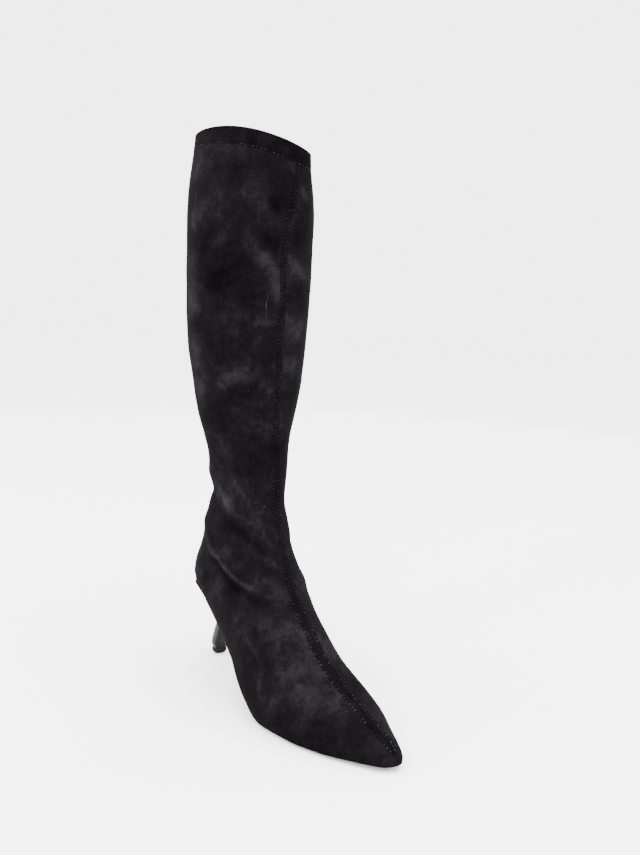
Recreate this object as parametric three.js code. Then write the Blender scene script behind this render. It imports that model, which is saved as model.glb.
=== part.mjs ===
// A pull-on knee boot in stretch suede with a pointed toe and a slim flared heel, for the right foot.
// Millimetres, +Z up, toe towards -Y, inner side of the foot towards +X.
// The origin is on the floor, under the middle of the boot's bounding box.
//
// The last is a row of ribs. Each rib leans from the sole's edge, or from the line down the back of the
// shaft, to the line down the front, and a rounded profile joins its two ends on either side.

import * as THREE from 'three';
import { mergeVertices } from 'three/addons/utils/BufferGeometryUtils.js';

// Foot
const footLength = 255; // back of the counter to the toe tip
const ballWidth = 78; // widest part of the foot
const instepHeight = 56; // rise of the rib over the heel seat
const heelHeight = 73; // back of the heel seat above the sole's top at the ball
const toeSpring = 2.6; // toe tip of the sole above the ball

// Shaft
const bootHeight = 445.5; // back of the collar above the floor
const ankleWidth = 52;
const ankleDepth = 84;
const calfWidth = 101;
const calfDepth = 104;
const collarWidth = 56;
const collarDepth = 118;
const collarArch = 5.2; // rise of the collar's sides above its front and back
const collarLean = 5.7; // outer side of the collar above that, and inner side below

// Wall, hem and seams of the upper
const wallThickness = 1.6;
const hemHeight = 13; // turned hem at the collar
const hemRise = 0.6; // second layer of the hem, proud of the shaft
const frontSeamWidth = 6.4;
const backSeamWidth = 5;
const seamRise = 0.5; // seams, proud of the wall
const stepRun = 0.3; // width of the slope at the edge of a hem or seam

// Sole and heel
const clearance = 0.3; // between pieces that touch
const insoleThickness = 2;
const insoleMargin = 1; // insole edge inside the wall
const outsoleThickness = 2.7;
const outsoleMargin = 0.5; // sole edge outside the upper's lower edge
const outsoleChamfer = 0.9;
const heelLength = 41; // heel seat from its back to the breast
const heelBreastGap = 0.3;
const tipWidth = 12.6; // lower end of the heel
const tipLength = 12.8;
const neckWidth = 11.4; // slimmest part of the heel
const liftThickness = 5.4;
const tipTaper = 0.5; // heel's lower end inside its widest tip
const liftMargin = 0.2; // lift outside the heel's lower end
const liftRounding = 1.6; // lower edge of the lift
const tipLean = 3; // tip further in than the middle of the seat

const soleTop = outsoleThickness + clearance;
const seatHeight = soleTop + heelHeight;
const shaftLength = bootHeight - seatHeight;

// Ribs of the foot, from the toe tip to the back of the heel seat.
// soleAt, topAt: places of the rib's two ends, shares of footLength from the counter's back.
// heelRise: share of heelHeight. spring: share of toeSpring. instep: rise of the rib, share of instepHeight.
// lateral, medial: half widths, and swing: shift to the inner side, shares of ballWidth.
// widest: height of the widest point, share of the rib. topPower, sidePower: roundness above and below it.
// feather: half width at the sole's edge, share of the widest half width.
const FOOT_COLUMNS = ['soleAt', 'heelRise', 'spring', 'topAt', 'instep', 'lateral', 'medial', 'swing',
  'widest', 'topPower', 'sidePower', 'feather'];
const FOOT_RIBS = [
  [1.000, 0, 1.0, 0.999, 0.070, 0.061, 0.061, 0.091, 0.40, 2.0, 2.2, 0.86],
  [0.986, 0, 0.8, 0.978, 0.165, 0.117, 0.117, 0.073, 0.36, 2.0, 2.2, 0.88],
  [0.958, 0, 0.6, 0.945, 0.270, 0.177, 0.175, 0.060, 0.33, 2.0, 2.4, 0.91],
  [0.907, 0, 0.38, 0.889, 0.388, 0.268, 0.264, 0.043, 0.30, 1.9, 2.4, 0.93],
  [0.825, 0, 0.08, 0.800, 0.567, 0.403, 0.398, 0.022, 0.28, 1.9, 2.4, 0.94],
  [0.729, 0, 0, 0.721, 0.797, 0.475, 0.470, -0.028, 0.28, 1.9, 2.4, 0.93],
  [0.610, 0, 0, 0.676, 1.043, 0.494, 0.479, -0.080, 0.28, 1.9, 2.4, 0.91],
  [0.501, 0.15, 0, 0.620, 1.100, 0.502, 0.472, -0.095, 0.30, 1.9, 2.3, 0.84],
  [0.396, 0.425, 0, 0.556, 1.000, 0.481, 0.450, -0.090, 0.33, 1.9, 2.2, 0.78],
  [0.287, 0.67, 0, 0.512, 0.905, 0.460, 0.438, -0.070, 0.36, 1.9, 2.2, 0.80],
  [0.185, 0.85, 0, 0.471, 0.868, 0.433, 0.415, -0.044, 0.38, 1.9, 2.2, 0.85],
  [0.096, 0.932, 0, 0.437, 0.935, 0.414, 0.402, -0.018, 0.40, 1.9, 2.2, 0.86],
  [0.027, 1.0, 0, 0.420, 1.020, 0.415, 0.405, -0.004, 0.42, 1.9, 2.2, 0],
];

// Ribs of the shaft, from the ankle to the collar.
// up: height of the back end over the heel seat, share of shaftLength. back: its place, share of footLength.
// depth, width: shares of the depth and width of the part that the rib follows. swing: share of that width.
// frontRise: front end above the back end, share of instepHeight.
// arch, lean: shares of collarArch and collarLean.
// twist: shift of the front end to the inner side and of the back end to the outer side, share of that width.
const SHAFT_COLUMNS = ['follows', 'up', 'back', 'depth', 'frontRise', 'width', 'swing', 'twist',
  'widest', 'arch', 'lean'];
const SHAFT_RIBS = [
  ['ankle', 0.043, 0.007, 1.172, 0.93, 1.135, -0.001, 0, 0.45, 0, 0],
  ['ankle', 0.106, 0.014, 1.100, 0.80, 0.985, 0.002, 0, 0.48, 0, 0],
  ['ankle', 0.200, 0.044, 0.982, 0.62, 1.010, 0.022, 0, 0.50, 0, 0],
  ['ankle', 0.281, 0.045, 0.972, 0.525, 1.158, -0.015, 0, 0.50, 0, 0],
  ['calf', 0.413, 0.019, 0.855, 0.35, 0.836, -0.023, 0, 0.50, 0, 0],
  ['calf', 0.572, -0.014, 0.961, 0.177, 0.967, -0.041, 0, 0.50, 0, 0],
  ['calf', 0.731, -0.022, 0.975, 0.043, 1.016, -0.045, -0.005, 0.50, 0, 0],
  ['calf', 0.875, -0.055, 1.104, -0.080, 0.913, -0.059, 0.026, 0.50, 0.3, 0.3],
  ['collar', 1.0, -0.067, 0.985, -0.217, 0.992, -0.118, 0.160, 0.50, 1, 1],
];
const SHAFT_SIZES = {
  ankle: { width: ankleWidth, depth: ankleDepth },
  calf: { width: calfWidth, depth: calfDepth },
  collar: { width: collarWidth, depth: collarDepth },
};
const SHAFT_TOP_POWER = 2;
const SHAFT_SIDE_POWER = 2.1;
const TOE_ROUNDING_POWER = 2.5; // roundness of the toe tip in side view
const SEAT_CLOSING = -0.28; // square of the feather carried on past the seat, so that its back is round

// Sections of the heel, from just under the seat down to the tip.
// up: height of the section's middle, share of heelHeight. slant: share of the seat's slope that it keeps.
// back, front: shares of heelLength from the back of the seat.
// Their width is a mix of the seat's, the neck's and the tip's widths, and their shape is a mix of
// the seat's and the tip's.
const HEEL_COLUMNS = ['up', 'slant', 'back', 'front', 'seat', 'neck', 'tip'];
const HEEL_SECTIONS = [
  [0.945, 1, 0.012, 0.995, 0.975, 0, 0],
  [0.885, 0.9, 0.042, 0.985, 0.88, 0, 0],
  [0.81, 0.7, 0.09, 0.955, 0.69, 0.04, 0],
  [0.725, 0.45, 0.15, 0.875, 0.45, 0.24, 0],
  [0.63, 0.2, 0.205, 0.755, 0.21, 0.58, 0],
  [0.53, 0.05, 0.232, 0.635, 0.06, 0.88, 0],
  [0.42, 0, 0.20, 0.53, 0, 1, 0],
  [0.32, 0, 0.12, 0.44, 0, 0.84, 0.16],
  [0.22, 0, 0.05, 0.375, 0, 0.4, 0.58],
  [0.13, 0, 0.015, 0.33, 0, 0, 1],
];
const TIP_BREAST_POWER = 5; // squareness of the tip's front corners
const TIP_CORNER_TURN = 0.75; // where those corners start, share of a half turn from the back
const LIFT_DRAFT = 0.3; // part of the lift's rounding that lies above its lower edge

// Fineness of the faces
const TOE_STEPS = 6;
const RIB_STEPS_PER_ROW = 3;
const SEAT_STEPS = 6;
const SIDE_FACES = 11; // faces of a rib between its seams, on one side
const PROFILE_STEPS = 40; // points that each half rib is measured along
const SEAT_BUNCHING = 0.75; // how much the faces narrow towards the seat's back
const BUNCHED_ROWS = 2; // rows either side of the seat's back that this fades over
const HEEL_SIDE_FACES = 9;
const HEEL_BREAST_FACES = 3;
const NEAREST_RIBS = 0.3; // least distance of a rib from the hem's edge, in rows
const NEAREST_RINGS = 0.05; // least distance of a plate's ring from its ends, in rows
const SEARCH_STEPS = 40; // halvings of a search for a row number
const MERGE_DISTANCE = 1e-3;
const SMALLEST_FACE = 1e-7;

const SEAT_ROW = FOOT_RIBS.length - 1;
const COLLAR_ROW = FOOT_RIBS.length + SHAFT_RIBS.length - 1;

const MATERIALS = {
  suede: new THREE.MeshStandardMaterial({ color: 0x211f24, roughness: 0.95, metalness: 0 }),
  sock: new THREE.MeshStandardMaterial({ color: 0x2a2728, roughness: 0.85, metalness: 0 }),
  sole: new THREE.MeshStandardMaterial({ color: 0x121213, roughness: 0.6, metalness: 0 }),
  heel: new THREE.MeshStandardMaterial({ color: 0x0b0b0c, roughness: 0.12, metalness: 0 }),
  lift: new THREE.MeshStandardMaterial({ color: 0x161616, roughness: 0.7, metalness: 0 }),
};

// Rows of a table as objects with named columns
function named(columns, rows) {
  return rows.map((row) => Object.fromEntries(columns.map((column, i) => [column, row[i]])));
}

function mix(a, b, t) {
  return a + (b - a) * t;
}

// Smooth curve through values at 0, 1, 2 and so on, with no overshoot between them
function smoothColumn(values) {
  const steps = values.slice(1).map((value, i) => value - values[i]);
  const slopes = values.map((_, i) => {
    const before = steps[Math.max(i - 1, 0)];
    const after = steps[Math.min(i, steps.length - 1)];
    return before * after <= 0 ? 0 : (2 * before * after) / (before + after);
  });
  return (t) => {
    const i = Math.min(Math.max(Math.floor(t), 0), steps.length - 1);
    const u = t - i;
    const rise = steps[i] * u * u * (3 - 2 * u);
    return values[i] + rise + slopes[i] * u * (1 - u) ** 2 - slopes[i + 1] * u * u * (1 - u);
  };
}

// Smooth curves through the columns of a list of rows, read at a row number that may be a fraction
function smoothRows(rows) {
  const columns = Object.keys(rows[0]).map((key) => [key, smoothColumn(rows.map((row) => row[key]))]);
  return (t) => Object.fromEntries(columns.map(([key, curve]) => [key, curve(t)]));
}

// Ribs in millimetres: f runs forward from the counter's back, z up.
// footF, footZ: the rib's lower end, on the sole's edge or the back line. headF, headZ: its upper end.
function footRib(row) {
  const footZ = soleTop + row.heelRise * heelHeight + row.spring * toeSpring;
  return {
    footF: row.soleAt * footLength,
    footZ,
    headF: row.topAt * footLength,
    headZ: footZ + row.instep * instepHeight,
    lateral: row.lateral * ballWidth,
    medial: row.medial * ballWidth,
    swing: row.swing * ballWidth,
    widest: row.widest,
    topPower: row.topPower,
    sidePower: row.sidePower,
    featherSquared: row.feather ** 2,
    twist: 0,
    arch: 0,
    lean: 0,
  };
}

function shaftRib(row) {
  const size = SHAFT_SIZES[row.follows];
  const footF = row.back * footLength;
  const footZ = seatHeight + row.up * shaftLength;
  return {
    footF,
    footZ,
    headF: footF + row.depth * size.depth,
    headZ: footZ + row.frontRise * instepHeight,
    lateral: (row.width * size.width) / 2,
    medial: (row.width * size.width) / 2,
    swing: row.swing * size.width,
    widest: row.widest,
    topPower: SHAFT_TOP_POWER,
    sidePower: SHAFT_SIDE_POWER,
    featherSquared: SEAT_CLOSING,
    twist: row.twist * size.width,
    arch: row.arch * collarArch,
    lean: row.lean * collarLean,
  };
}

const ribAt = smoothRows([
  ...named(FOOT_COLUMNS, FOOT_RIBS).map(footRib),
  ...named(SHAFT_COLUMNS, SHAFT_RIBS).map(shaftRib),
]);

// Share of its full size that a rib keeps where the toe tip rounds off, ahead of the second row
function toeRounding(t) {
  return t >= 1 ? 1 : Math.sqrt(1 - (1 - t) ** TOE_ROUNDING_POWER);
}

function featherShare(rib) {
  return Math.sqrt(Math.max(rib.featherSquared, 0));
}

function point(x, f, z) {
  return new THREE.Vector3(x, -f, z);
}

// One side of a rib from its head to its foot. Side is -1 for the outer side and 1 for the inner.
function ribProfile(t, side) {
  const rib = ribAt(t);
  const size = toeRounding(t);
  const half = (side < 0 ? rib.lateral : rib.medial) * size;
  const feather = featherShare(rib);
  const below = rib.widest / (1 - feather ** rib.sidePower) ** (1 / rib.sidePower);
  const lastAngle = Math.acos(feather ** (rib.sidePower / 2));
  const shares = [];
  for (let i = 0; i <= PROFILE_STEPS; i += 1) {
    const angle = (Math.PI / 2) * (i / PROFILE_STEPS);
    const up = rib.widest + (1 - rib.widest) * Math.max(Math.cos(angle), 0) ** (2 / rib.topPower);
    shares.push([Math.sin(angle) ** (2 / rib.topPower), up]);
  }
  for (let i = 1; i <= PROFILE_STEPS; i += 1) {
    const angle = lastAngle * (i / PROFILE_STEPS);
    const up = rib.widest - below * Math.sin(angle) ** (2 / rib.sidePower);
    shares.push([Math.max(Math.cos(angle), 0) ** (2 / rib.sidePower), i === PROFILE_STEPS ? 0 : up]);
  }
  shares[shares.length - 1][0] = feather;
  return shares.map(([across, up]) => {
    const f = mix(rib.footF, rib.headF, up * size);
    const z = mix(rib.footZ, rib.headZ, up * size) + rib.arch * across ** 2 - side * rib.lean * across;
    const middle = rib.swing + rib.twist * (2 * up - 1);
    return point(middle + side * half * across, f, z);
  });
}

// Points of a line at given distances from its start
function pointsAlong(line, distances) {
  const lengths = [0];
  line.slice(1).forEach((p, i) => lengths.push(lengths[i] + p.distanceTo(line[i])));
  return distances.map((distance) => {
    const next = lengths.findIndex((length) => length >= distance);
    if (next < 0) {
      return line[line.length - 1].clone();
    }
    if (next === 0) {
      return line[0].clone();
    }
    const u = (distance - lengths[next - 1]) / (lengths[next] - lengths[next - 1]);
    return line[next - 1].clone().lerp(line[next], u);
  });
}

function lineLength(line) {
  return line.slice(1).reduce((sum, p, i) => sum + p.distanceTo(line[i]), 0);
}

// Where a rib's faces start and end, from its head: the edges of both seams and faces between them
function faceDistances(length, bunching) {
  const narrow = Math.min(1, length / (3 * frontSeamWidth));
  const frontEdge = (frontSeamWidth / 2) * narrow;
  const backEdge = length - (backSeamWidth / 2) * narrow;
  const slope = stepRun * narrow;
  const distances = [0, frontEdge];
  for (let i = 0; i <= SIDE_FACES; i += 1) {
    const share = i / SIDE_FACES;
    const reach = share + bunching * share * share * (1 - share);
    distances.push(mix(frontEdge + slope, backEdge - slope, reach));
  }
  distances.push(backEdge, length);
  return distances;
}

const LAST_COLUMN = 2 * (SIDE_FACES + 4);
const MIDDLE_COLUMN = LAST_COLUMN / 2;

// A whole rib, from its foot on the outer side over its head to its foot on the inner side
function ribPoints(t) {
  const bunching = SEAT_BUNCHING * Math.max(1 - Math.abs(t - SEAT_ROW) / BUNCHED_ROWS, 0);
  const [outer, inner] = [-1, 1].map((side) => {
    const line = ribProfile(t, side);
    const length = lineLength(line);
    const points = pointsAlong(line, faceDistances(length, bunching));
    points[points.length - 1] = line[line.length - 1].clone();
    return points;
  });
  return [...outer.reverse(), ...inner.slice(1)];
}

// Row numbers of the ribs: close together at the toe tip, the back of the seat and the hem's edge
function ribStations() {
  const stations = [];
  for (let i = 0; i < TOE_STEPS; i += 1) {
    stations.push(2 * (i / TOE_STEPS) ** 2);
  }
  for (let t = 2; t < SEAT_ROW - 1; t += 1 / RIB_STEPS_PER_ROW) {
    stations.push(t);
  }
  for (let i = 0; i < SEAT_STEPS; i += 1) {
    stations.push(SEAT_ROW - (1 - i / SEAT_STEPS) ** 2);
  }
  const hemRow = COLLAR_ROW - hemHeight / collarRowSpacing();
  const hemStep = stepRun / collarRowSpacing();
  for (let t = SEAT_ROW; t < hemRow - hemStep - NEAREST_RIBS; t += 1 / RIB_STEPS_PER_ROW) {
    stations.push(t);
  }
  stations.push(hemRow - hemStep, hemRow, COLLAR_ROW);
  return { stations, hemRow };
}

// Height between the last two rows
function collarRowSpacing() {
  return ribAt(COLLAR_ROW).footZ - ribAt(COLLAR_ROW - 1).footZ;
}

function positionKey(p) {
  return p.toArray().map((value) => value.toFixed(3)).join();
}

// Outward direction at each point of a grid, the same wherever points coincide
function gridNormals(grid) {
  const sums = new Map();
  const sum = (p) => {
    const key = positionKey(p);
    if (!sums.has(key)) {
      sums.set(key, new THREE.Vector3());
    }
    return sums.get(key);
  };
  for (const corners of gridFaces(grid)) {
    const normal = new THREE.Triangle(...corners).getNormal(new THREE.Vector3());
    corners.forEach((p) => sum(p).add(normal));
  }
  return grid.map((row) => row.map((p) => sum(p).clone().normalize()));
}

// Triangles between neighbouring rows of a grid, facing out for ribs that run from outer to inner side
function gridFaces(grid, flip = false) {
  const faces = [];
  for (let i = 1; i < grid.length; i += 1) {
    for (let j = 1; j < grid[i].length; j += 1) {
      const quad = [grid[i - 1][j - 1], grid[i - 1][j], grid[i][j], grid[i][j - 1]];
      faces.push(...quadFaces(flip ? quad.reverse() : quad));
    }
  }
  return faces;
}

// Two triangles split along the shorter diagonal, without any that have no area
function quadFaces([a, b, c, d]) {
  const split = a.distanceTo(c) <= b.distanceTo(d) ? [[a, b, c], [a, c, d]] : [[a, b, d], [b, c, d]];
  return split.filter((face) => new THREE.Triangle(...face).getArea() > SMALLEST_FACE);
}

// Closed mesh of a list of triangles, turned so that they face out
function closedMesh(name, faces, material) {
  const positions = faces.flatMap((face) => face.flatMap((p) => p.toArray()));
  const loose = new THREE.BufferGeometry();
  loose.setAttribute('position', new THREE.Float32BufferAttribute(positions, 3));
  const geometry = mergeVertices(loose, MERGE_DISTANCE);
  const index = [...geometry.index.array];
  const corner = (i) => new THREE.Vector3().fromBufferAttribute(geometry.attributes.position, index[i]);
  const kept = [];
  let volume = 0;
  for (let i = 0; i < index.length; i += 3) {
    if (new Set(index.slice(i, i + 3)).size === 3) {
      kept.push(index.slice(i, i + 3));
      volume += corner(i).dot(corner(i + 1).cross(corner(i + 2))) / 6;
    }
  }
  geometry.setIndex(kept.flatMap((face) => (volume < 0 ? face.reverse() : face)));
  geometry.computeVertexNormals();
  const mesh = new THREE.Mesh(geometry, material);
  mesh.name = name;
  return mesh;
}

// The upper: one wall from the sole's edge to the collar, open at both
function buildUpper() {
  const { stations, hemRow } = ribStations();
  const last = stations.map(ribPoints);
  const normals = gridNormals(last);
  const outside = last.map((row, i) => row.map((p, j) => {
    const rise = outsideRise(stations[i], j, hemRow);
    return p.clone().addScaledVector(normals[i][j], rise);
  }));
  const inside = last.map((row, i) => row.map((p, j) => {
    const atEdge = j === 0 || j === LAST_COLUMN;
    if (atEdge && stations[i] < SEAT_ROW) {
      return soleEdgePoint(stations[i], j === 0 ? -1 : 1, -wallThickness);
    }
    if (stations[i] === SEAT_ROW && atEdge) {
      return soleEdgePoint(SEAT_ROW, 1, -wallThickness);
    }
    return p.clone().addScaledVector(normals[i][j], -wallThickness);
  }));
  const openRows = stations.filter((t) => t <= SEAT_ROW).length;
  const column = (grid, j) => grid.slice(0, openRows).map((row) => row[j]);
  const faces = [
    ...gridFaces(outside),
    ...gridFaces(inside, true),
    ...gridFaces([outside[outside.length - 1], inside[inside.length - 1]]),
    ...gridFaces([column(inside, 0), column(outside, 0)], true),
    ...gridFaces([column(inside, LAST_COLUMN), column(outside, LAST_COLUMN)]),
  ];
  return closedMesh('upper', faces, MATERIALS.suede);
}

// How far the upper's outside stands proud of the last at a column of a rib
function outsideRise(t, column, hemRow) {
  if (t >= hemRow) {
    return hemRise;
  }
  const fromHead = Math.abs(column - MIDDLE_COLUMN);
  const onFrontSeam = fromHead <= 1 && t > 0.5;
  const onBackSeam = fromHead >= MIDDLE_COLUMN - 1 && t > SEAT_ROW;
  return onFrontSeam || onBackSeam ? seamRise : 0;
}

// Sole's edge in plan at a row number, moved outwards by a margin: [x, f]
function soleEdge(t, side, margin = 0) {
  const at = (row) => {
    const rib = ribAt(row);
    const half = (side < 0 ? rib.lateral : rib.medial) * featherShare(rib) * toeRounding(row);
    return new THREE.Vector2(rib.swing + side * half, rib.footF);
  };
  const nudge = 0.02;
  const ahead = at(Math.max(t - nudge, 0));
  const behind = at(Math.min(t + nudge, SEAT_ROW));
  const along = behind.sub(ahead).normalize();
  const outward = new THREE.Vector2(side * Math.abs(along.y), -side * along.x * Math.sign(along.y || 1));
  if (t === 0) {
    outward.set(0, 1);
  }
  if (t === SEAT_ROW) {
    outward.set(0, -1);
  }
  return at(t).addScaledVector(outward, margin);
}

// Row number at which the sole's edge reaches a place along the foot
function rowAt(f) {
  let front = 0;
  let back = SEAT_ROW;
  for (let i = 0; i < SEARCH_STEPS; i += 1) {
    const middle = (front + back) / 2;
    if (ribAt(middle).footF > f) {
      front = middle;
    } else {
      back = middle;
    }
  }
  return front;
}

// Height of the upper's lower edge at a place along the foot
function soleHeight(f) {
  return ribAt(rowAt(f)).footZ;
}

// How much longer a plate's thickness is when it is measured straight down, where the sole slopes
function slopeFactor(f) {
  const reach = 1;
  return Math.hypot(1, (soleHeight(f + reach) - soleHeight(f - reach)) / (2 * reach));
}

// Point on or around the sole's edge, a depth below the upper's lower edge
function soleEdgePoint(t, side, margin, depth = 0, thickness = 0) {
  const edge = soleEdge(t, side, margin);
  return point(edge.x, edge.y, soleHeight(edge.y) - depth - thickness * slopeFactor(edge.y));
}

// Row numbers from one to another that the upper's ribs use too, so that edges run parallel
function stationsBetween(from, to) {
  const between = ribStations().stations.filter((t) => t > from + NEAREST_RINGS && t < to - NEAREST_RINGS);
  return [from, ...between, to];
}

// Faces of a flat ring, or none where the ring has closed to a line
function fan(ring) {
  const closedUp = ring[0].distanceTo(ring[ring.length - 1]) < MERGE_DISTANCE;
  return closedUp ? [] : ring.slice(2).map((p, i) => [ring[0], ring[i + 1], p]);
}

// A plate between rings of equal length, closed at both ends
function plate(name, rings, material) {
  const faces = gridFaces(rings.map((ring) => [...ring, ring[0]]));
  faces.push(...fan([...rings[0]].reverse()), ...fan(rings[rings.length - 1]));
  return closedMesh(name, faces, material);
}

const seatBack = ribAt(SEAT_ROW).footF;
const breastF = seatBack + heelLength;

// The insole, inside the upper's wall, from near the toe tip to the back of the seat
function buildInsole() {
  const margin = -(wallThickness + insoleMargin);
  const rings = stationsBetween(0.9, SEAT_ROW).map((t) => [
    soleEdgePoint(t, -1, margin, 0, -insoleThickness),
    soleEdgePoint(t, 1, margin, 0, -insoleThickness),
    soleEdgePoint(t, 1, margin),
    soleEdgePoint(t, -1, margin),
  ]);
  return plate('insole', rings, MATERIALS.sock);
}

// The outsole, from the toe tip to the heel's breast
function buildOutsole() {
  const depths = [
    { margin: outsoleMargin, thickness: 0 },
    { margin: outsoleMargin, thickness: outsoleThickness - outsoleChamfer },
    { margin: outsoleMargin - outsoleChamfer, thickness: outsoleThickness },
  ];
  const edgePoint = (t, side, { margin, thickness }) => soleEdgePoint(t, side, margin, clearance, thickness);
  const rings = stationsBetween(0, rowAt(breastF)).map((t) => [
    ...depths.map((depth) => edgePoint(t, 1, depth)),
    ...depths.map((depth) => edgePoint(t, -1, depth)).reverse(),
  ]);
  return plate('outsole', rings, MATERIALS.sole);
}

// One half of a flat-fronted ring from its back to the middle of its front: [across, along] shares
function tipShares() {
  const side = (i) => TIP_CORNER_TURN * (i / HEEL_SIDE_FACES);
  const breast = (i) => mix(TIP_CORNER_TURN, 1, (i + 1) / HEEL_BREAST_FACES);
  const turns = [
    ...Array.from({ length: HEEL_SIDE_FACES + 1 }, (_, i) => side(i)),
    ...Array.from({ length: HEEL_BREAST_FACES }, (_, i) => breast(i)),
  ];
  return turns.map((turn) => {
    const angle = Math.PI * turn;
    const power = angle < Math.PI / 2 ? 2 : TIP_BREAST_POWER;
    const along = Math.sign(Math.cos(angle)) * Math.abs(Math.cos(angle)) ** (2 / power);
    return [Math.sin(angle) ** (2 / power), (1 - along) / 2];
  });
}

// The seat's ring under the upper's edge, as [x, f] for one side from its back to the middle of the breast
function seatHalfRing(side) {
  const breastRow = rowAt(breastF - heelBreastGap);
  const rows = Array.from({ length: HEEL_SIDE_FACES + 1 }, (_, i) => {
    return mix(SEAT_ROW, breastRow, (i / HEEL_SIDE_FACES) ** 2);
  });
  const sides = rows.map((t) => soleEdge(t, side));
  const corner = sides[sides.length - 1];
  const middle = new THREE.Vector2(ribAt(breastRow).swing, corner.y);
  const breast = Array.from({ length: HEEL_BREAST_FACES }, (_, i) => {
    return corner.clone().lerp(middle, (i + 1) / HEEL_BREAST_FACES);
  });
  return [...sides, ...breast];
}

// Whole ring from two halves that share their first and last points
function wholeRing(half) {
  const outer = half(-1);
  const inner = half(1);
  return [...outer, ...inner.slice(1, -1).reverse()];
}

const seatMiddle = ribAt(SEAT_ROW).swing;
const tipBack = seatBack + HEEL_SECTIONS[HEEL_SECTIONS.length - 1][2] * heelLength;
const tipX = seatMiddle + tipLean;

// Flat ring in the tip's shape at a height, larger all round by a margin
function tipRing(z, margin = 0) {
  const back = tipBack - margin;
  const front = tipBack + tipLength + margin;
  const half = tipWidth / 2 + margin;
  const shares = tipShares();
  return wholeRing((side) => shares.map(([across, along]) => {
    return point(tipX + side * across * half, mix(back, front, along), z);
  }));
}

// The heel: a cup under the seat that runs down to a slim neck and flares to the tip
function buildHeel() {
  const seatRing = wholeRing((side) => seatHalfRing(side).map((edge) => {
    return point(edge.x, edge.y, soleHeight(edge.y) - clearance);
  }));
  const seatHalf = Math.max(...seatRing.map((p) => Math.abs(p.x - seatMiddle)));
  const seatMiddleHeight = soleHeight(seatBack + heelLength / 2);
  const section = (row) => {
    const half = row.seat * seatHalf + (row.neck * neckWidth + row.tip * tipWidth) / 2;
    const x = seatMiddle + tipLean * (1 - row.up);
    const back = seatBack + row.back * heelLength;
    const front = seatBack + row.front * heelLength;
    const tip = tipShares();
    return wholeRing((side) => seatHalfRing(side).map((edge, i) => {
      const across = mix(side * tip[i][0], (edge.x - seatMiddle) / seatHalf, row.seat);
      const along = mix(tip[i][1], (edge.y - seatBack) / heelLength, row.seat);
      const f = mix(back, front, along);
      const z = row.up * heelHeight + row.slant * (soleHeight(f) - seatMiddleHeight);
      return point(x + across * half, f, z);
    }));
  };
  const foot = tipRing(liftThickness + clearance, -tipTaper);
  const rings = [seatRing, ...named(HEEL_COLUMNS, HEEL_SECTIONS).map(section), foot];
  const faces = gridFaces(rings.map((ring) => [...ring, ring[0]]));
  faces.push(...ringCap(seatRing), ...ringCap(foot).map((face) => face.reverse()));
  return closedMesh('heel', faces, MATERIALS.heel);
}

// Faces across a heel ring: strips between its sides, then a fan over the points of its breast
function ringCap(ring) {
  const count = ring.length;
  const faces = [];
  for (let i = 1; i < HEEL_SIDE_FACES; i += 1) {
    faces.push(...quadFaces([ring[i - 1], ring[(count + 1 - i) % count], ring[count - i], ring[i]]));
  }
  const lastPair = HEEL_SIDE_FACES - 1;
  const front = ring.slice(lastPair, count - lastPair + 1);
  faces.push(...fan(front.reverse()));
  return faces;
}

// The top lift under the heel, with a rounded lower edge, flat on the floor
function buildTopLift() {
  const margin = liftMargin - tipTaper;
  const rings = [
    tipRing(liftThickness, margin),
    tipRing(liftRounding, margin - LIFT_DRAFT * liftRounding),
    tipRing(0, margin - liftRounding),
  ];
  return plate('top_lift', rings, MATERIALS.lift);
}

const boot = new THREE.Group();
boot.add(buildUpper(), buildInsole(), buildOutsole(), buildHeel(), buildTopLift());

const bounds = new THREE.Box3().setFromObject(boot);
const middle = bounds.getCenter(new THREE.Vector3());
boot.position.set(-middle.x, -middle.y, 0);

export default boot;
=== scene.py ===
"""Dresses the frame of a pull-on knee boot in black stretch suede.

Metres, +Z up, toe towards -Y, inner side of the foot towards +X. Upper, sole and heel are lofted over the
same last as the frame, finer than there, with the boot's folds, seams and stitches.
"""
import logging
import math
from dataclasses import dataclass
from enum import Enum, IntEnum
from typing import Callable

import bmesh
import bpy
import numpy as np
from mathutils import Matrix, Vector, noise


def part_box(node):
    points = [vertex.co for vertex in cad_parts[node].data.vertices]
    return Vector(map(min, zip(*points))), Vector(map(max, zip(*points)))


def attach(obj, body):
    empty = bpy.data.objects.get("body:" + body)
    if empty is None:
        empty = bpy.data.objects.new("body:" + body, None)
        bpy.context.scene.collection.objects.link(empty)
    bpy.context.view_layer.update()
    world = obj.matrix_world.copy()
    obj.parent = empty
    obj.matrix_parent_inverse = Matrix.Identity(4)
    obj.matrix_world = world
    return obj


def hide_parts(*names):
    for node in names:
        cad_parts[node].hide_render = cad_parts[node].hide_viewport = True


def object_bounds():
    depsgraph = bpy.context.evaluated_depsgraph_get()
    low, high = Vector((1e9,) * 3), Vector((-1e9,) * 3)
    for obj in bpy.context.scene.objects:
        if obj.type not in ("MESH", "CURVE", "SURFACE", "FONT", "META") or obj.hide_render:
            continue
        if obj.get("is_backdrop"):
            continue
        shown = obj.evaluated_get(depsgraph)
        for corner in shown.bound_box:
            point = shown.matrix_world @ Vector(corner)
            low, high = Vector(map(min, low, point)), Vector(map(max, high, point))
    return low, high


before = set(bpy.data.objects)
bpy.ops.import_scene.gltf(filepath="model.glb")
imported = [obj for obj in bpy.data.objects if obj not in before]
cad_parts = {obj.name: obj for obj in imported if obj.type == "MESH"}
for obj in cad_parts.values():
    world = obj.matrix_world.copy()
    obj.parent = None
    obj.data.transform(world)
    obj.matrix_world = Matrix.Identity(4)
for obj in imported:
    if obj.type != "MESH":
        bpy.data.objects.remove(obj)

FRAME_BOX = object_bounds()
LOG = logging.getLogger("boot")
MM = 0.001
Piece = bpy.types.Object
Socket = bpy.types.NodeSocket
Colour = tuple[float, float, float]

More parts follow.
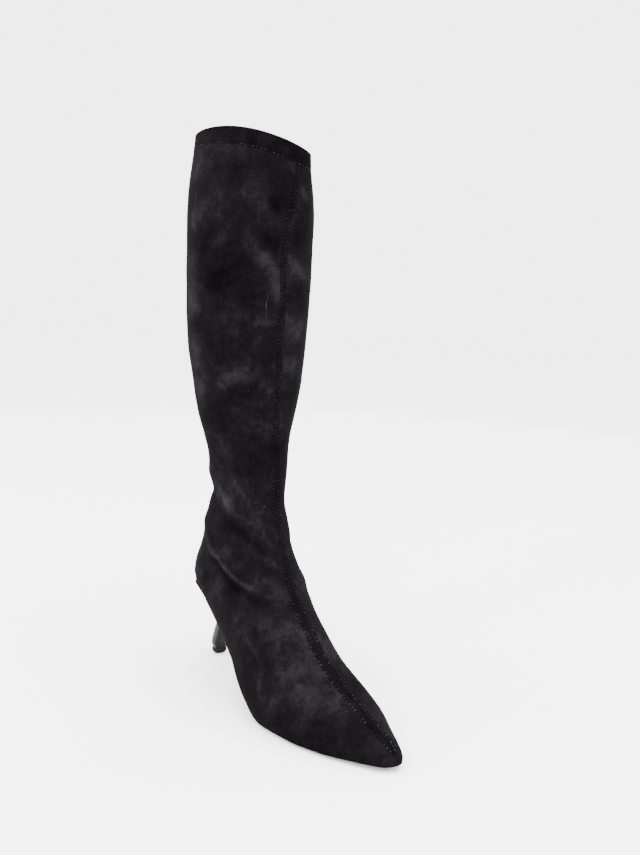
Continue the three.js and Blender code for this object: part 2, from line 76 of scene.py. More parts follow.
# Ribs of the foot, from the toe tip to the back of the heel seat, as shares of the last's sizes.
# sole_at, top_at: places of the rib's two ends, shares of foot_length from the counter's back.
# heel_rise: share of heel_height. spring: share of toe_spring.
# instep: rise of the rib, share of instep_height.
# outer, inner: half widths, and swing: shift to the inner side, shares of ball_width.
# widest: height of the widest point, share of the rib. top_power, side_power: roundness above and below it.
# feather: half width at the sole's edge, share of the widest half width.
FOOT_COLUMNS = ("sole_at", "heel_rise", "spring", "top_at", "instep", "outer", "inner", "swing",
                "widest", "top_power", "side_power", "feather")
FOOT_RIBS = (
    (1.000, 0, 1.0, 0.999, 0.070, 0.061, 0.061, 0.091, 0.40, 2.0, 2.2, 0.86),
    (0.986, 0, 0.8, 0.978, 0.165, 0.117, 0.117, 0.073, 0.36, 2.0, 2.2, 0.88),
    (0.958, 0, 0.6, 0.945, 0.270, 0.177, 0.175, 0.060, 0.33, 2.0, 2.4, 0.91),
    (0.907, 0, 0.38, 0.889, 0.388, 0.268, 0.264, 0.043, 0.30, 1.9, 2.4, 0.93),
    (0.825, 0, 0.08, 0.800, 0.567, 0.403, 0.398, 0.022, 0.28, 1.9, 2.4, 0.94),
    (0.729, 0, 0, 0.721, 0.797, 0.475, 0.470, -0.028, 0.28, 1.9, 2.4, 0.93),
    (0.610, 0, 0, 0.676, 1.043, 0.494, 0.479, -0.080, 0.28, 1.9, 2.4, 0.91),
    (0.501, 0.15, 0, 0.620, 1.100, 0.502, 0.472, -0.095, 0.30, 1.9, 2.3, 0.84),
    (0.396, 0.425, 0, 0.556, 1.000, 0.481, 0.450, -0.090, 0.33, 1.9, 2.2, 0.78),
    (0.287, 0.67, 0, 0.512, 0.905, 0.460, 0.438, -0.070, 0.36, 1.9, 2.2, 0.80),
    (0.185, 0.85, 0, 0.471, 0.868, 0.433, 0.415, -0.044, 0.38, 1.9, 2.2, 0.85),
    (0.096, 0.932, 0, 0.437, 0.935, 0.414, 0.402, -0.018, 0.40, 1.9, 2.2, 0.86),
    (0.027, 1.0, 0, 0.420, 1.020, 0.415, 0.405, -0.004, 0.42, 1.9, 2.2, 0),
)

# Ribs of the shaft, from the ankle to the collar.
# up: height of the back end over the heel seat, share of shaft_length. back: its place, share of foot_length.
# depth, width: shares of the depth and width of the part that the rib follows. swing: share of that width.
# front_rise: front end above the back end, share of instep_height.
# arch, lean: shares of collar_arch and collar_lean.
# twist: shift of the front end to the inner side and of the back end to the outer side, share of that width.
SHAFT_COLUMNS = ("follows", "up", "back", "depth", "front_rise", "width", "swing", "twist", "widest", "arch",
                 "lean")
SHAFT_RIBS = (
    ("ankle", 0.043, 0.007, 1.172, 0.93, 1.135, -0.001, 0, 0.45, 0, 0),
    ("ankle", 0.106, 0.014, 1.100, 0.80, 0.985, 0.002, 0, 0.48, 0, 0),
    ("ankle", 0.200, 0.044, 0.982, 0.62, 1.010, 0.022, 0, 0.50, 0, 0),
    ("ankle", 0.281, 0.045, 0.972, 0.525, 1.158, -0.015, 0, 0.50, 0, 0),
    ("calf", 0.413, 0.019, 0.855, 0.35, 0.836, -0.023, 0, 0.50, 0, 0),
    ("calf", 0.572, -0.014, 0.961, 0.177, 0.967, -0.041, 0, 0.50, 0, 0),
    ("calf", 0.731, -0.022, 0.975, 0.043, 1.016, -0.045, -0.005, 0.50, 0, 0),
    ("calf", 0.875, -0.055, 1.104, -0.080, 0.913, -0.059, 0.026, 0.50, 0.3, 0.3),
    ("collar", 1.0, -0.067, 0.985, -0.250, 0.992, -0.118, 0.210, 0.50, 1, 1),
)

# Sections of the heel, from just under the seat down to the tip.
# up: height of the section's middle, share of heel_height. slant: share of the seat's slope that it keeps.
# back, front: shares of heel_length from the back of the seat.
# Their width is a mix of the seat's, the neck's and the tip's widths, and so is their shape.
HEEL_COLUMNS = ("up", "slant", "back", "front", "seat", "neck", "tip")
HEEL_SECTIONS = (
    (0.945, 1, 0.012, 0.995, 0.975, 0, 0),
    (0.885, 0.9, 0.042, 0.985, 0.88, 0, 0),
    (0.81, 0.7, 0.09, 0.955, 0.69, 0.04, 0),
    (0.725, 0.45, 0.15, 0.875, 0.45, 0.24, 0),
    (0.63, 0.2, 0.205, 0.755, 0.21, 0.58, 0),
    (0.53, 0.05, 0.232, 0.635, 0.06, 0.88, 0),
    (0.42, 0, 0.20, 0.53, 0, 1, 0),
    (0.32, 0, 0.12, 0.44, 0, 0.84, 0.16),
    (0.22, 0, 0.05, 0.375, 0, 0.4, 0.58),
    (0.13, 0, 0.015, 0.33, 0, 0, 1),
)

TOE_ROUNDING_POWER = 2.5
SEAT_CLOSING = -0.28  # square of the feather carried on past the seat, so that its back is round
COLLAR_SLUMP = 0.6  # how much more the collar leans in front than on the whole, and less behind
SHAFT_TOP_POWER = 2.0
SHAFT_SIDE_POWER = 2.1


class Side(Enum):
    """A side of the foot, as the sign of X on it."""

    OUTER = -1
    INNER = 1


class Rib(IntEnum):
    """Columns of the ribs in metres: F runs forward from the counter's back, Z up."""

    FOOT_F = 0
    FOOT_Z = 1
    HEAD_F = 2
    HEAD_Z = 3
    OUTER = 4
    INNER = 5
    SWING = 6
    TWIST = 7
    WIDEST = 8
    TOP_POWER = 9
    SIDE_POWER = 10
    FEATHER2 = 11
    ARCH = 12
    LEAN = 13


@dataclass(frozen=True)
class LastSizes:
    """Driving sizes of the boot, in metres, as in the frame."""

    foot_length: float = 0.255
    ball_width: float = 0.078
    instep_height: float = 0.056
    heel_height: float = 0.073
    toe_spring: float = 0.0026
    boot_height: float = 0.4455
    ankle_width: float = 0.052
    ankle_depth: float = 0.084
    calf_width: float = 0.101
    calf_depth: float = 0.104
    collar_width: float = 0.056
    collar_depth: float = 0.118
    collar_arch: float = 0.0052
    collar_lean: float = 0.0057
    wall: float = 0.0016
    clearance: float = 0.0003
    sole_thickness: float = 0.0027
    sole_margin: float = 0.0005
    heel_length: float = 0.041
    breast_gap: float = 0.0003
    tip_width: float = 0.0126
    tip_length: float = 0.0128
    neck_width: float = 0.0114
    tip_lean: float = 0.003
    tip_taper: float = 0.0005
    lift_thickness: float = 0.0054
    lift_margin: float = 0.0002
    lift_rounding: float = 0.0016

    @property
    def sole_top(self) -> float:
        """Height of the sole's upper face under the ball."""
        return self.sole_thickness + self.clearance

    @property
    def seat_height(self) -> float:
        """Height of the back of the heel seat."""
        return self.sole_top + self.heel_height

    @property
    def shaft_length(self) -> float:
        """Height of the collar's back above the heel seat."""
        return self.boot_height - self.seat_height


def smooth_rows(rows: np.ndarray, at: np.ndarray) -> np.ndarray:
    """Reads smooth curves through the columns of a table, with no overshoot between its rows.

    Args:
        rows: The table, a row for each whole row number.
        at: Row numbers, which may be fractions.

    Returns:
        A row of values for each number in at.
    """
    steps = np.diff(rows, axis=0)
    before = np.vstack([steps[:1], steps])
    after = np.vstack([steps, steps[-1:]])
    product = before * after
    slopes = np.divide(2 * product, before + after, out=np.zeros_like(product), where=product > 0)
    i = np.clip(np.floor(at).astype(int), 0, len(steps) - 1)
    u = (at - i)[:, None]
    rise = steps[i] * u * u * (3 - 2 * u)
    return rows[i] + rise + slopes[i] * u * (1 - u) ** 2 - slopes[i + 1] * u * u * (1 - u)


def fade(values: np.ndarray, low: float, high: float) -> np.ndarray:
    """Smooth step from 0 at low to 1 at high."""
    u = np.clip((values - low) / (high - low), 0, 1)
    return u * u * (3 - 2 * u)


def lengths_along(points: np.ndarray) -> np.ndarray:
    """Distances of a line's points from its start."""
    return np.concatenate([[0.0], np.cumsum(np.linalg.norm(np.diff(points, axis=0), axis=1))])


def resampled(points: np.ndarray, at: np.ndarray, known: np.ndarray | None = None) -> np.ndarray:
    """Points of a line at given distances.

    Args:
        points: The line, a row for each point.
        at: Distances to read.
        known: Distances of the line's own points, or None to measure them from its start.

    Returns:
        A row for each distance in at.
    """
    known = lengths_along(points) if known is None else known
    return np.stack([np.interp(at, known, points[:, k]) for k in range(points.shape[1])], axis=1)


class Last:
    """The last: ribs from the toe tip to the collar, in the frame's coordinates."""

    HALF_STEPS = 70

    def __init__(self, sizes: LastSizes) -> None:
        """Works the ribs out from the tables.

        Args:
            sizes: The driving sizes.
        """
        self.sizes = sizes
        foot = [self._foot_rib(dict(zip(FOOT_COLUMNS, row))) for row in FOOT_RIBS]
        shaft = [self._shaft_rib(dict(zip(SHAFT_COLUMNS, row))) for row in SHAFT_RIBS]
        self.rows = np.array(foot + shaft)
        self.seat_row = len(foot) - 1
        self.collar_row = len(self.rows) - 1
        self.seat_middle = float(self.rows[self.seat_row, Rib.SWING])
        self.seat_back = float(self.rows[self.seat_row, Rib.FOOT_F])
        self.tip_x = self.seat_middle + sizes.tip_lean
        lift_low, lift_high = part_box("top_lift")
        sole_low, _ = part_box("outsole")
        self.shift = np.array([
            (lift_low.x + lift_high.x) / 2 - self.tip_x,
            sole_low.y + sizes.foot_length + sizes.sole_margin,
            0.0,
        ])
        fine = np.linspace(0, self.seat_row, 2400)
        ribs = self.ribs(fine)
        self._edge_rows = fine[::-1]
        self._edge_f = ribs[::-1, Rib.FOOT_F]
        self._edge_z = ribs[::-1, Rib.FOOT_Z]

    def _foot_rib(self, row: dict[str, float]) -> list[float]:
        """A rib of the foot in metres, from its row of shares."""
        s = self.sizes
        foot_z = s.sole_top + row["heel_rise"] * s.heel_height + row["spring"] * s.toe_spring
        return [
            row["sole_at"] * s.foot_length, foot_z,
            row["top_at"] * s.foot_length, foot_z + row["instep"] * s.instep_height,
            row["outer"] * s.ball_width, row["inner"] * s.ball_width, row["swing"] * s.ball_width, 0.0,
            row["widest"], row["top_power"], row["side_power"], row["feather"] ** 2, 0.0, 0.0,
        ]

    def _shaft_rib(self, row: dict[str, float | str]) -> list[float]:
        """A rib of the shaft in metres, from its row of shares."""
        s = self.sizes
        width = getattr(s, f"{row['follows']}_width")
        depth = getattr(s, f"{row['follows']}_depth")
        foot_f = row["back"] * s.foot_length
        foot_z = s.seat_height + row["up"] * s.shaft_length
        half = row["width"] * width / 2
        return [
            foot_f, foot_z, foot_f + row["depth"] * depth, foot_z + row["front_rise"] * s.instep_height,
            half, half, row["swing"] * width, row["twist"] * width,
            row["widest"], SHAFT_TOP_POWER, SHAFT_SIDE_POWER, SEAT_CLOSING, row["arch"] * s.collar_arch,
            row["lean"] * s.collar_lean,
        ]

    def ribs(self, at: np.ndarray) -> np.ndarray:
        """The ribs' columns at row numbers that may be fractions."""
        return smooth_rows(self.rows, np.asarray(at, dtype=float))

    def rounding(self, at: np.ndarray) -> np.ndarray:
        """Share of its size that a rib keeps where the toe tip rounds off."""
        ahead = np.clip(1 - np.asarray(at, dtype=float), 0, 1)
        return np.sqrt(np.clip(1 - ahead ** TOE_ROUNDING_POWER, 0, 1))

    def placed(self, x: np.ndarray, f: np.ndarray, z: np.ndarray) -> np.ndarray:
        """Points in the frame's coordinates."""
        return np.stack([x, -f, z], axis=-1) + self.shift

    def half_ribs(self, at: np.ndarray, side: Side) -> np.ndarray:
        """Half ribs from head to foot.

        Args:
            at: Row numbers.
            side: The side of the foot.

        Returns:
            An array of points, [row number, step along the rib, axis].
        """
        ribs = self.ribs(at)[:, :, None]
        size = self.rounding(at)[:, None]
        turn = np.linspace(0, 1, self.HALF_STEPS + 1)[None]
        widest, top, low = ribs[:, Rib.WIDEST], ribs[:, Rib.TOP_POWER], ribs[:, Rib.SIDE_POWER]
        feather = np.sqrt(np.clip(ribs[:, Rib.FEATHER2], 0, 1))
        angle = turn * math.pi / 2
        head_up = widest + (1 - widest) * np.clip(np.cos(angle), 0, 1) ** (2 / top)
        head_across = np.sin(angle) ** (2 / top)
        below = widest / (1 - feather ** low) ** (1 / low)
        angle = turn[:, 1:] * np.arccos(feather ** (low / 2))
        foot_up = widest - below * np.sin(angle) ** (2 / low)
        foot_across = np.clip(np.cos(angle), 0, 1) ** (2 / low)
        up = np.hstack([head_up, foot_up])
        across = np.hstack([head_across, foot_across])
        half = ribs[:, Rib.OUTER if side is Side.OUTER else Rib.INNER] * size
        f = ribs[:, Rib.FOOT_F] + (ribs[:, Rib.HEAD_F] - ribs[:, Rib.FOOT_F]) * up * size
        z = ribs[:, Rib.FOOT_Z] + (ribs[:, Rib.HEAD_Z] - ribs[:, Rib.FOOT_Z]) * up * size
        slumped = 1 + COLLAR_SLUMP * (2 * up - 1)
        z = z + ribs[:, Rib.ARCH] * across ** 2 - side.value * ribs[:, Rib.LEAN] * across * slumped
        x = ribs[:, Rib.SWING] + ribs[:, Rib.TWIST] * (2 * up - 1) + side.value * half * across
        return self.placed(x, f, z)

    def sole_edge(self, at: np.ndarray, side: Side, margin: float) -> np.ndarray:
        """The upper's lower edge in plan, moved outwards.

        Args:
            at: Row numbers, rising.
            side: The side of the foot.
            margin: Distance outwards, in metres.

        Returns:
            Rows of x and f, before the frame's shift.
        """
        def edge(rows: np.ndarray) -> np.ndarray:
            """The edge itself, as rows of x and f."""
            ribs = self.ribs(rows)
            half = ribs[:, Rib.OUTER if side is Side.OUTER else Rib.INNER]
            half = half * np.sqrt(np.clip(ribs[:, Rib.FEATHER2], 0, 1)) * self.rounding(rows)
            return np.stack([ribs[:, Rib.SWING] + side.value * half, ribs[:, Rib.FOOT_F]], axis=1)

        nudge = 0.02
        along = edge(np.minimum(at + nudge, self.seat_row)) - edge(np.maximum(at - nudge, 0))
        along /= np.linalg.norm(along, axis=1)[:, None]
        outward = side.value * np.stack([np.abs(along[:, 1]), -along[:, 0] * np.sign(along[:, 1])], axis=1)
        outward[at <= 0] = (0, 1)
        outward[at >= self.seat_row] = (0, -1)
        return edge(at) + margin * outward

    def sole_height(self, f: np.ndarray) -> np.ndarray:
        """Height of the upper's lower edge at places along the foot."""
        return np.interp(f, self._edge_f, self._edge_z)

    def sole_row(self, f: float) -> float:
        """Row number at which the sole's edge reaches a place along the foot."""
        return float(np.interp(f, self._edge_f, self._edge_rows))

    def sole_steepness(self, f: np.ndarray) -> np.ndarray:
        """How much longer a thickness across the sole is when it is measured straight down."""
        reach = 0.001
        return np.hypot(1, (self.sole_height(f + reach) - self.sole_height(f - reach)) / (2 * reach))


def grid_normals(points: np.ndarray, joined: np.ndarray) -> np.ndarray:
    """Outward directions at the points of a grid.

    Args:
        points: The grid, [rib, column, axis].
        joined: For each rib, whether its first and last columns are one point.

    Returns:
        Unit directions, shaped as the grid.
    """
    faces = np.cross(points[1:, 1:] - points[:-1, :-1], points[1:, :-1] - points[:-1, 1:])
    sums = np.zeros_like(points)
    low, high = slice(None, -1), slice(1, None)
    for rows in (low, high):
        for columns in (low, high):
            sums[rows, columns] += faces
    both = sums[:, 0] + sums[:, -1]
    sums[joined, 0] = both[joined]
    sums[joined, -1] = both[joined]
    sums[0] = sums[0].sum(axis=0)
    return sums / np.maximum(np.linalg.norm(sums, axis=2), 1e-12)[:, :, None]


@dataclass(frozen=True)
class Skin:
    """A grid of points over the last, ribs by columns.

    Attributes:
        rows: Row number of each rib.
        around: Distance of each point round its rib from the front line, negative on the outer side.
        points: The points.
        normals: Outward directions.
    """

    rows: np.ndarray
    around: np.ndarray
    points: np.ndarray
    normals: np.ndarray

    def read(self, row: float, around: float) -> tuple[np.ndarray, np.ndarray]:
        """Point and outward direction at a row number and a distance round the rib."""
        i = int(np.clip(np.searchsorted(self.rows, row) - 1, 0, len(self.rows) - 2))
        u = float(np.clip((row - self.rows[i]) / (self.rows[i + 1] - self.rows[i]), 0, 1))
        found = []
        for grid in (self.points, self.normals):
            ends = [resampled(grid[k], np.array([around]), self.around[k])[0] for k in (i, i + 1)]
            found.append(ends[0] * (1 - u) + ends[1] * u)
        return found[0], found[1] / np.linalg.norm(found[1])

    def half_length(self, row: float, side: Side = Side.INNER) -> float:
        """Length of half a rib, on one side."""
        ends = self.around[:, -1] if side is Side.INNER else -self.around[:, 0]
        return float(np.interp(row, self.rows, ends))


@dataclass(frozen=True)
class Fold:
    """A soft ridge or trough of the suede along a line on the last.

    Attributes:
        name: What it is, in plain words.
        rise: Height of a ridge, or depth of a trough if negative, in millimetres.
        width: Distance from its middle at which it has faded to a third, in millimetres.
        places: Its line: row number, and turn from 0 in front to -1 or 1 at the back, by the outer or the
            inner side.
    """

    name: str
    rise: float
    width: float
    places: tuple[tuple[float, float], ...]


@dataclass(frozen=True)
class NapAndLightPatch:
    """A patch of the suede painted lighter or darker: most are brushed nap, some are painted sheen and
    painted top light.

    Attributes:
        row: Row number of its middle.
        turn: Turn of its middle, as for a fold.
        radius: Its radius in millimetres.
        light: How much lighter it is, from -1 to 1.
    """

    row: float
    turn: float
    radius: float
    light: float


FOLDS = (
    Fold("crest of the roll", 1.2, 1.6, ((13.85, -0.71), (13.47, -0.634), (13.16, -0.571), (12.79, -0.529),
         (11.98, -0.478), (11.16, -0.496), (10.43, -0.466), (9.8, -0.426), (9.35, -0.372))),
    Fold("roll over the ankle", 1.7, 3.2, ((13.47, -0.634), (13.16, -0.571), (12.79, -0.529),
         (11.98, -0.478), (11.16, -0.496), (10.43, -0.466), (9.8, -0.426), (9.35, -0.372), (9.03, -0.315),
         (8.62, -0.253), (8.26, -0.181))),
    Fold("swelling behind the roll", 1.1, 9.0, ((12.6, -0.44), (11.6, -0.42), (10.4, -0.38), (9.6, -0.28),
         (8.8, -0.17), (8.2, -0.08))),
    Fold("hollow under the roll", -1.6, 4.2, ((12.1, -0.54), (11.66, -0.54), (10.84, -0.54), (10.07, -0.515),
         (9.57, -0.465), (9.07, -0.405), (8.53, -0.335), (8.08, -0.25))),
    Fold("pinch in front of the ankle", 1.3, 3.4, ((14.33, -0.409), (14.2, -0.37), (14.06, -0.365))),
    Fold("long streak to the pinch", 0.9, 2.6, ((15.2, -0.648), (14.79, -0.526), (14.47, -0.447),
         (14.2, -0.394))),
    Fold("dent between the streaks", -0.7, 3.4, ((14.95, -0.52), (14.6, -0.42), (14.35, -0.34))),
    Fold("short streak to the front", 0.8, 2.4, ((15.06, -0.436), (14.7, -0.316), (14.38, -0.244),
         (13.84, -0.176))),
    Fold("streak down the back", 0.8, 2.2, ((14.97, -0.627), (14.61, -0.536), (14.29, -0.474))),
    Fold("short upright streak", 0.8, 1.9, ((13.97, -0.421), (13.79, -0.441), (13.38, -0.423))),
    Fold("ridge from the pinch", 0.9, 4.0, ((13.88, -0.325), (13.25, -0.201), (12.43, -0.107),
         (11.57, -0.08))),
    Fold("hollow before the instep", -1.5, 5.0, ((13.65, -0.385), (12.84, -0.262), (11.89, -0.187),
         (10.75, -0.136))),
    Fold("low ridge of the instep", 0.8, 5.0, ((11.66, -0.253), (10.8, -0.187), (10.03, -0.128),
         (9.44, -0.072))),
    Fold("fullness of the counter", 2.1, 8.0, ((13.2, -0.9), (12.6, -0.8), (12.0, -0.76), (11.5, -0.76),
         (11.0, -0.8), (10.5, -0.84))),
    Fold("lower fullness of the counter", 1.6, 5.5, ((12.5, -0.96), (12.0, -0.89), (11.5, -0.86),
         (11.1, -0.87), (10.7, -0.9))),
    Fold("inner fullness of the counter", 2.0, 8.0, ((13.2, 0.9), (12.6, 0.8), (12.0, 0.76), (11.5, 0.76),
         (11.0, 0.8), (10.5, 0.84))),
    Fold("swelling above the notch", 1.6, 6.0, ((15.7, -0.6), (15.55, -0.7), (15.45, -0.84))),
    Fold("notch at the back", -1.6, 5.0, ((15.05, -1.0), (14.97, -0.8), (14.9, -0.64))),
    Fold("swelling under the notch", 1.2, 7.0, ((14.2, -1.0), (14.15, -0.8), (14.0, -0.66))),
    Fold("upper band by the collar", 1.1, 7.0, ((20.18, -0.213), (19.82, -0.145), (19.5, -0.066))),
    Fold("hollow before it", -0.9, 6.0, ((20.0, -0.119), (19.78, -0.081), (19.59, -0.047))),
    Fold("second band", 1.1, 6.5, ((19.46, -0.207), (19.19, -0.167), (18.96, -0.088), (18.6, -0.037),
         (18.32, -0.025))),
    Fold("second hollow", -0.9, 6.0, ((19.41, -0.127), (19.23, -0.086), (19.05, -0.05))),
    Fold("band right of the seam", 0.9, 6.0, ((20.18, 0.048), (19.96, 0.111))),
    Fold("hollow right of the seam", -0.8, 7.0, ((19.68, 0.029), (19.37, 0.091), (19.14, 0.068))),
    Fold("second band right of it", 1.0, 5.5, ((19.05, 0.025), (18.78, 0.119), (18.69, 0.188))),
    Fold("third band right of it", 0.9, 6.0, ((18.05, 0.025), (17.92, 0.098), (17.78, 0.172))),
    Fold("low band right of it", 0.9, 7.0, ((17.42, 0.122), (16.74, 0.189))),
    Fold("hollow of the calf", -1.1, 11.0, ((18.91, -0.373), (18.6, -0.39), (18.45, -0.25))),
    Fold("swelling under it", 0.9, 9.0, ((18.28, -0.291), (18.14, -0.198), (17.92, -0.116))),
    Fold("left leg of the vee", 0.9, 7.0, ((17.33, -0.214), (16.92, -0.388))),
    Fold("right leg of the vee", 0.9, 7.0, ((17.33, -0.214), (16.87, -0.036))),
    Fold("inner roll over the ankle", 1.1, 4.2, ((13.4, 0.66), (12.6, 0.54), (11.7, 0.48), (10.8, 0.44),
         (9.8, 0.36), (9.0, 0.25), (8.4, 0.13))),
    Fold("hollow under the inner roll", -1.0, 5.0, ((12.2, 0.57), (11.2, 0.53), (10.2, 0.48), (9.2, 0.38),
         (8.4, 0.27))),
    Fold("inner long streak", 0.9, 2.8, ((15.3, 0.63), (14.8, 0.52), (14.3, 0.4), (14.0, 0.33))),
    Fold("inner short streak", 0.8, 2.6, ((15.0, 0.42), (14.6, 0.31), (14.2, 0.23))),
    Fold("inner hollow before the instep", -1.3, 5.0, ((13.6, 0.38), (12.8, 0.26), (11.8, 0.19),
         (10.9, 0.14))),
    Fold("inner notch at the back", -1.3, 5.0, ((15.0, 1.0), (14.95, 0.8), (14.85, 0.62))),
    Fold("inner swelling under the notch", 1.2, 7.0, ((14.1, 1.0), (14.05, 0.72))),
    Fold("inner band of the calf", 1.0, 8.0, ((19.9, 0.24), (19.5, 0.38), (19.2, 0.52))),
    Fold("inner hollow of the calf", -1.0, 9.0, ((19.2, 0.3), (18.9, 0.45), (18.8, 0.6))),
    Fold("inner band below it", 0.9, 8.0, ((18.5, 0.42), (18.2, 0.62))),
    Fold("inner band of the shin", 0.9, 8.0, ((17.3, 0.32), (16.8, 0.46))),
    Fold("slack at the calf's back", 0.9, 9.0, ((18.9, -0.66), (18.4, -0.85))),
    Fold("hollow of the calf's back", -0.9, 9.0, ((18.1, -0.7), (17.7, -0.9))),
    Fold("inner slack at the calf's back", -0.8, 9.0, ((18.1, 0.72), (17.6, 0.9))),
)

# Patches of the suede painted lighter or darker: brushed nap, and painted sheen and top light where marked.
NAP_AND_LIGHT_PATCHES = (
    NapAndLightPatch(20.0, -0.18, 13, 0.2), NapAndLightPatch(19.65, -0.1, 10, 0.4), NapAndLightPatch(19.85, -0.07, 8, -0.5),
    NapAndLightPatch(19.3, -0.18, 11, 0.45), NapAndLightPatch(18.95, -0.09, 9, 0.6), NapAndLightPatch(18.5, -0.035, 7, 0.6),
    NapAndLightPatch(19.2, -0.085, 8, -0.6), NapAndLightPatch(20.5, -0.16, 11, -0.5), NapAndLightPatch(19.6, -0.36, 18, -0.15),
    NapAndLightPatch(18.75, -0.33, 24, -0.6), NapAndLightPatch(18.1, -0.27, 15, 0.35), NapAndLightPatch(18.4, -0.19, 13, -0.5),
    NapAndLightPatch(17.75, -0.12, 12, 0.2), NapAndLightPatch(17.6, -0.33, 14, 0.05), NapAndLightPatch(17.1, -0.1, 13, 0.05),
    NapAndLightPatch(17.2, -0.34, 13, 0.35), NapAndLightPatch(16.3, -0.35, 18, -0.1), NapAndLightPatch(15.8, -0.3, 13, -0.35),
    NapAndLightPatch(16.1, -0.08, 14, 0.0), NapAndLightPatch(20.1, 0.07, 9, 0.55), NapAndLightPatch(19.4, 0.06, 10, -0.45),
    NapAndLightPatch(18.85, 0.09, 9, 0.6), NapAndLightPatch(18.4, 0.12, 11, -0.05), NapAndLightPatch(17.9, 0.1, 11, 0.7), NapAndLightPatch(17.3, 0.1, 14, 0.6),
    NapAndLightPatch(14.15, -0.375, 7, 0.9), NapAndLightPatch(14.6, -0.48, 8, 0.35), NapAndLightPatch(14.1, -0.22, 10, -0.3),
    NapAndLightPatch(13.2, -0.33, 13, -0.45), NapAndLightPatch(12.6, -0.1, 9, 0.25), NapAndLightPatch(10.8, -0.2, 14, -0.05),
    NapAndLightPatch(11.3, -0.36, 9, -0.2), NapAndLightPatch(9.9, -0.5, 12, -0.5), NapAndLightPatch(8.7, -0.34, 12, -0.5),
    NapAndLightPatch(10.2, -0.66, 9, 0.45), NapAndLightPatch(11.4, -0.8, 12, -0.3), NapAndLightPatch(7.8, -0.28, 16, -0.05),
    # The lighter patches on the vamp, rows 2 to 8, are partly brushed nap and partly painted top light.
    NapAndLightPatch(7.2, -0.1, 16, 0.15), NapAndLightPatch(6.4, -0.36, 16, -0.1), NapAndLightPatch(5.5, -0.26, 15, 0.45),
    NapAndLightPatch(7.3, -0.6, 12, -0.3), NapAndLightPatch(4.6, -0.5, 13, 0.6), NapAndLightPatch(4.2, -0.2, 11, 0.6), NapAndLightPatch(3.0, -0.5, 12, -0.15),
    NapAndLightPatch(2.4, -0.3, 9, -0.2), NapAndLightPatch(9.0, 0.12, 12, 0.35), NapAndLightPatch(19.3, 0.5, 24, 0.35), NapAndLightPatch(18.2, 0.55, 26, -0.35),
    NapAndLightPatch(16.9, 0.5, 22, 0.4), NapAndLightPatch(14.3, 0.4, 12, 0.45), NapAndLightPatch(9.8, 0.4, 22, 0.3), NapAndLightPatch(6.4, 0.4, 22, 0.35),
    # The broad patch at row 6.4 is painted top light over the vamp.
    NapAndLightPatch(4.6, 0.4, 18, -0.3), NapAndLightPatch(6.4, -0.25, 42, 0.2), NapAndLightPatch(3.6, -0.25, 24, 0.05),
    # The six patches down the shaft's outer side, rows 17 to 20, are painted sheen where light grazes it.
    NapAndLightPatch(20.2, -0.56, 12, 0.45), NapAndLightPatch(19.5, -0.545, 13, 0.75), NapAndLightPatch(18.9, -0.525, 13, 0.75),
    NapAndLightPatch(18.3, -0.515, 13, 0.75), NapAndLightPatch(17.7, -0.515, 13, 0.8), NapAndLightPatch(17.1, -0.53, 12, 0.65),
    NapAndLightPatch(19.0, -0.8, 26, 0.3), NapAndLightPatch(17.3, 0.85, 26, -0.3), NapAndLightPatch(15.8, -0.9, 22, 0.3),
)


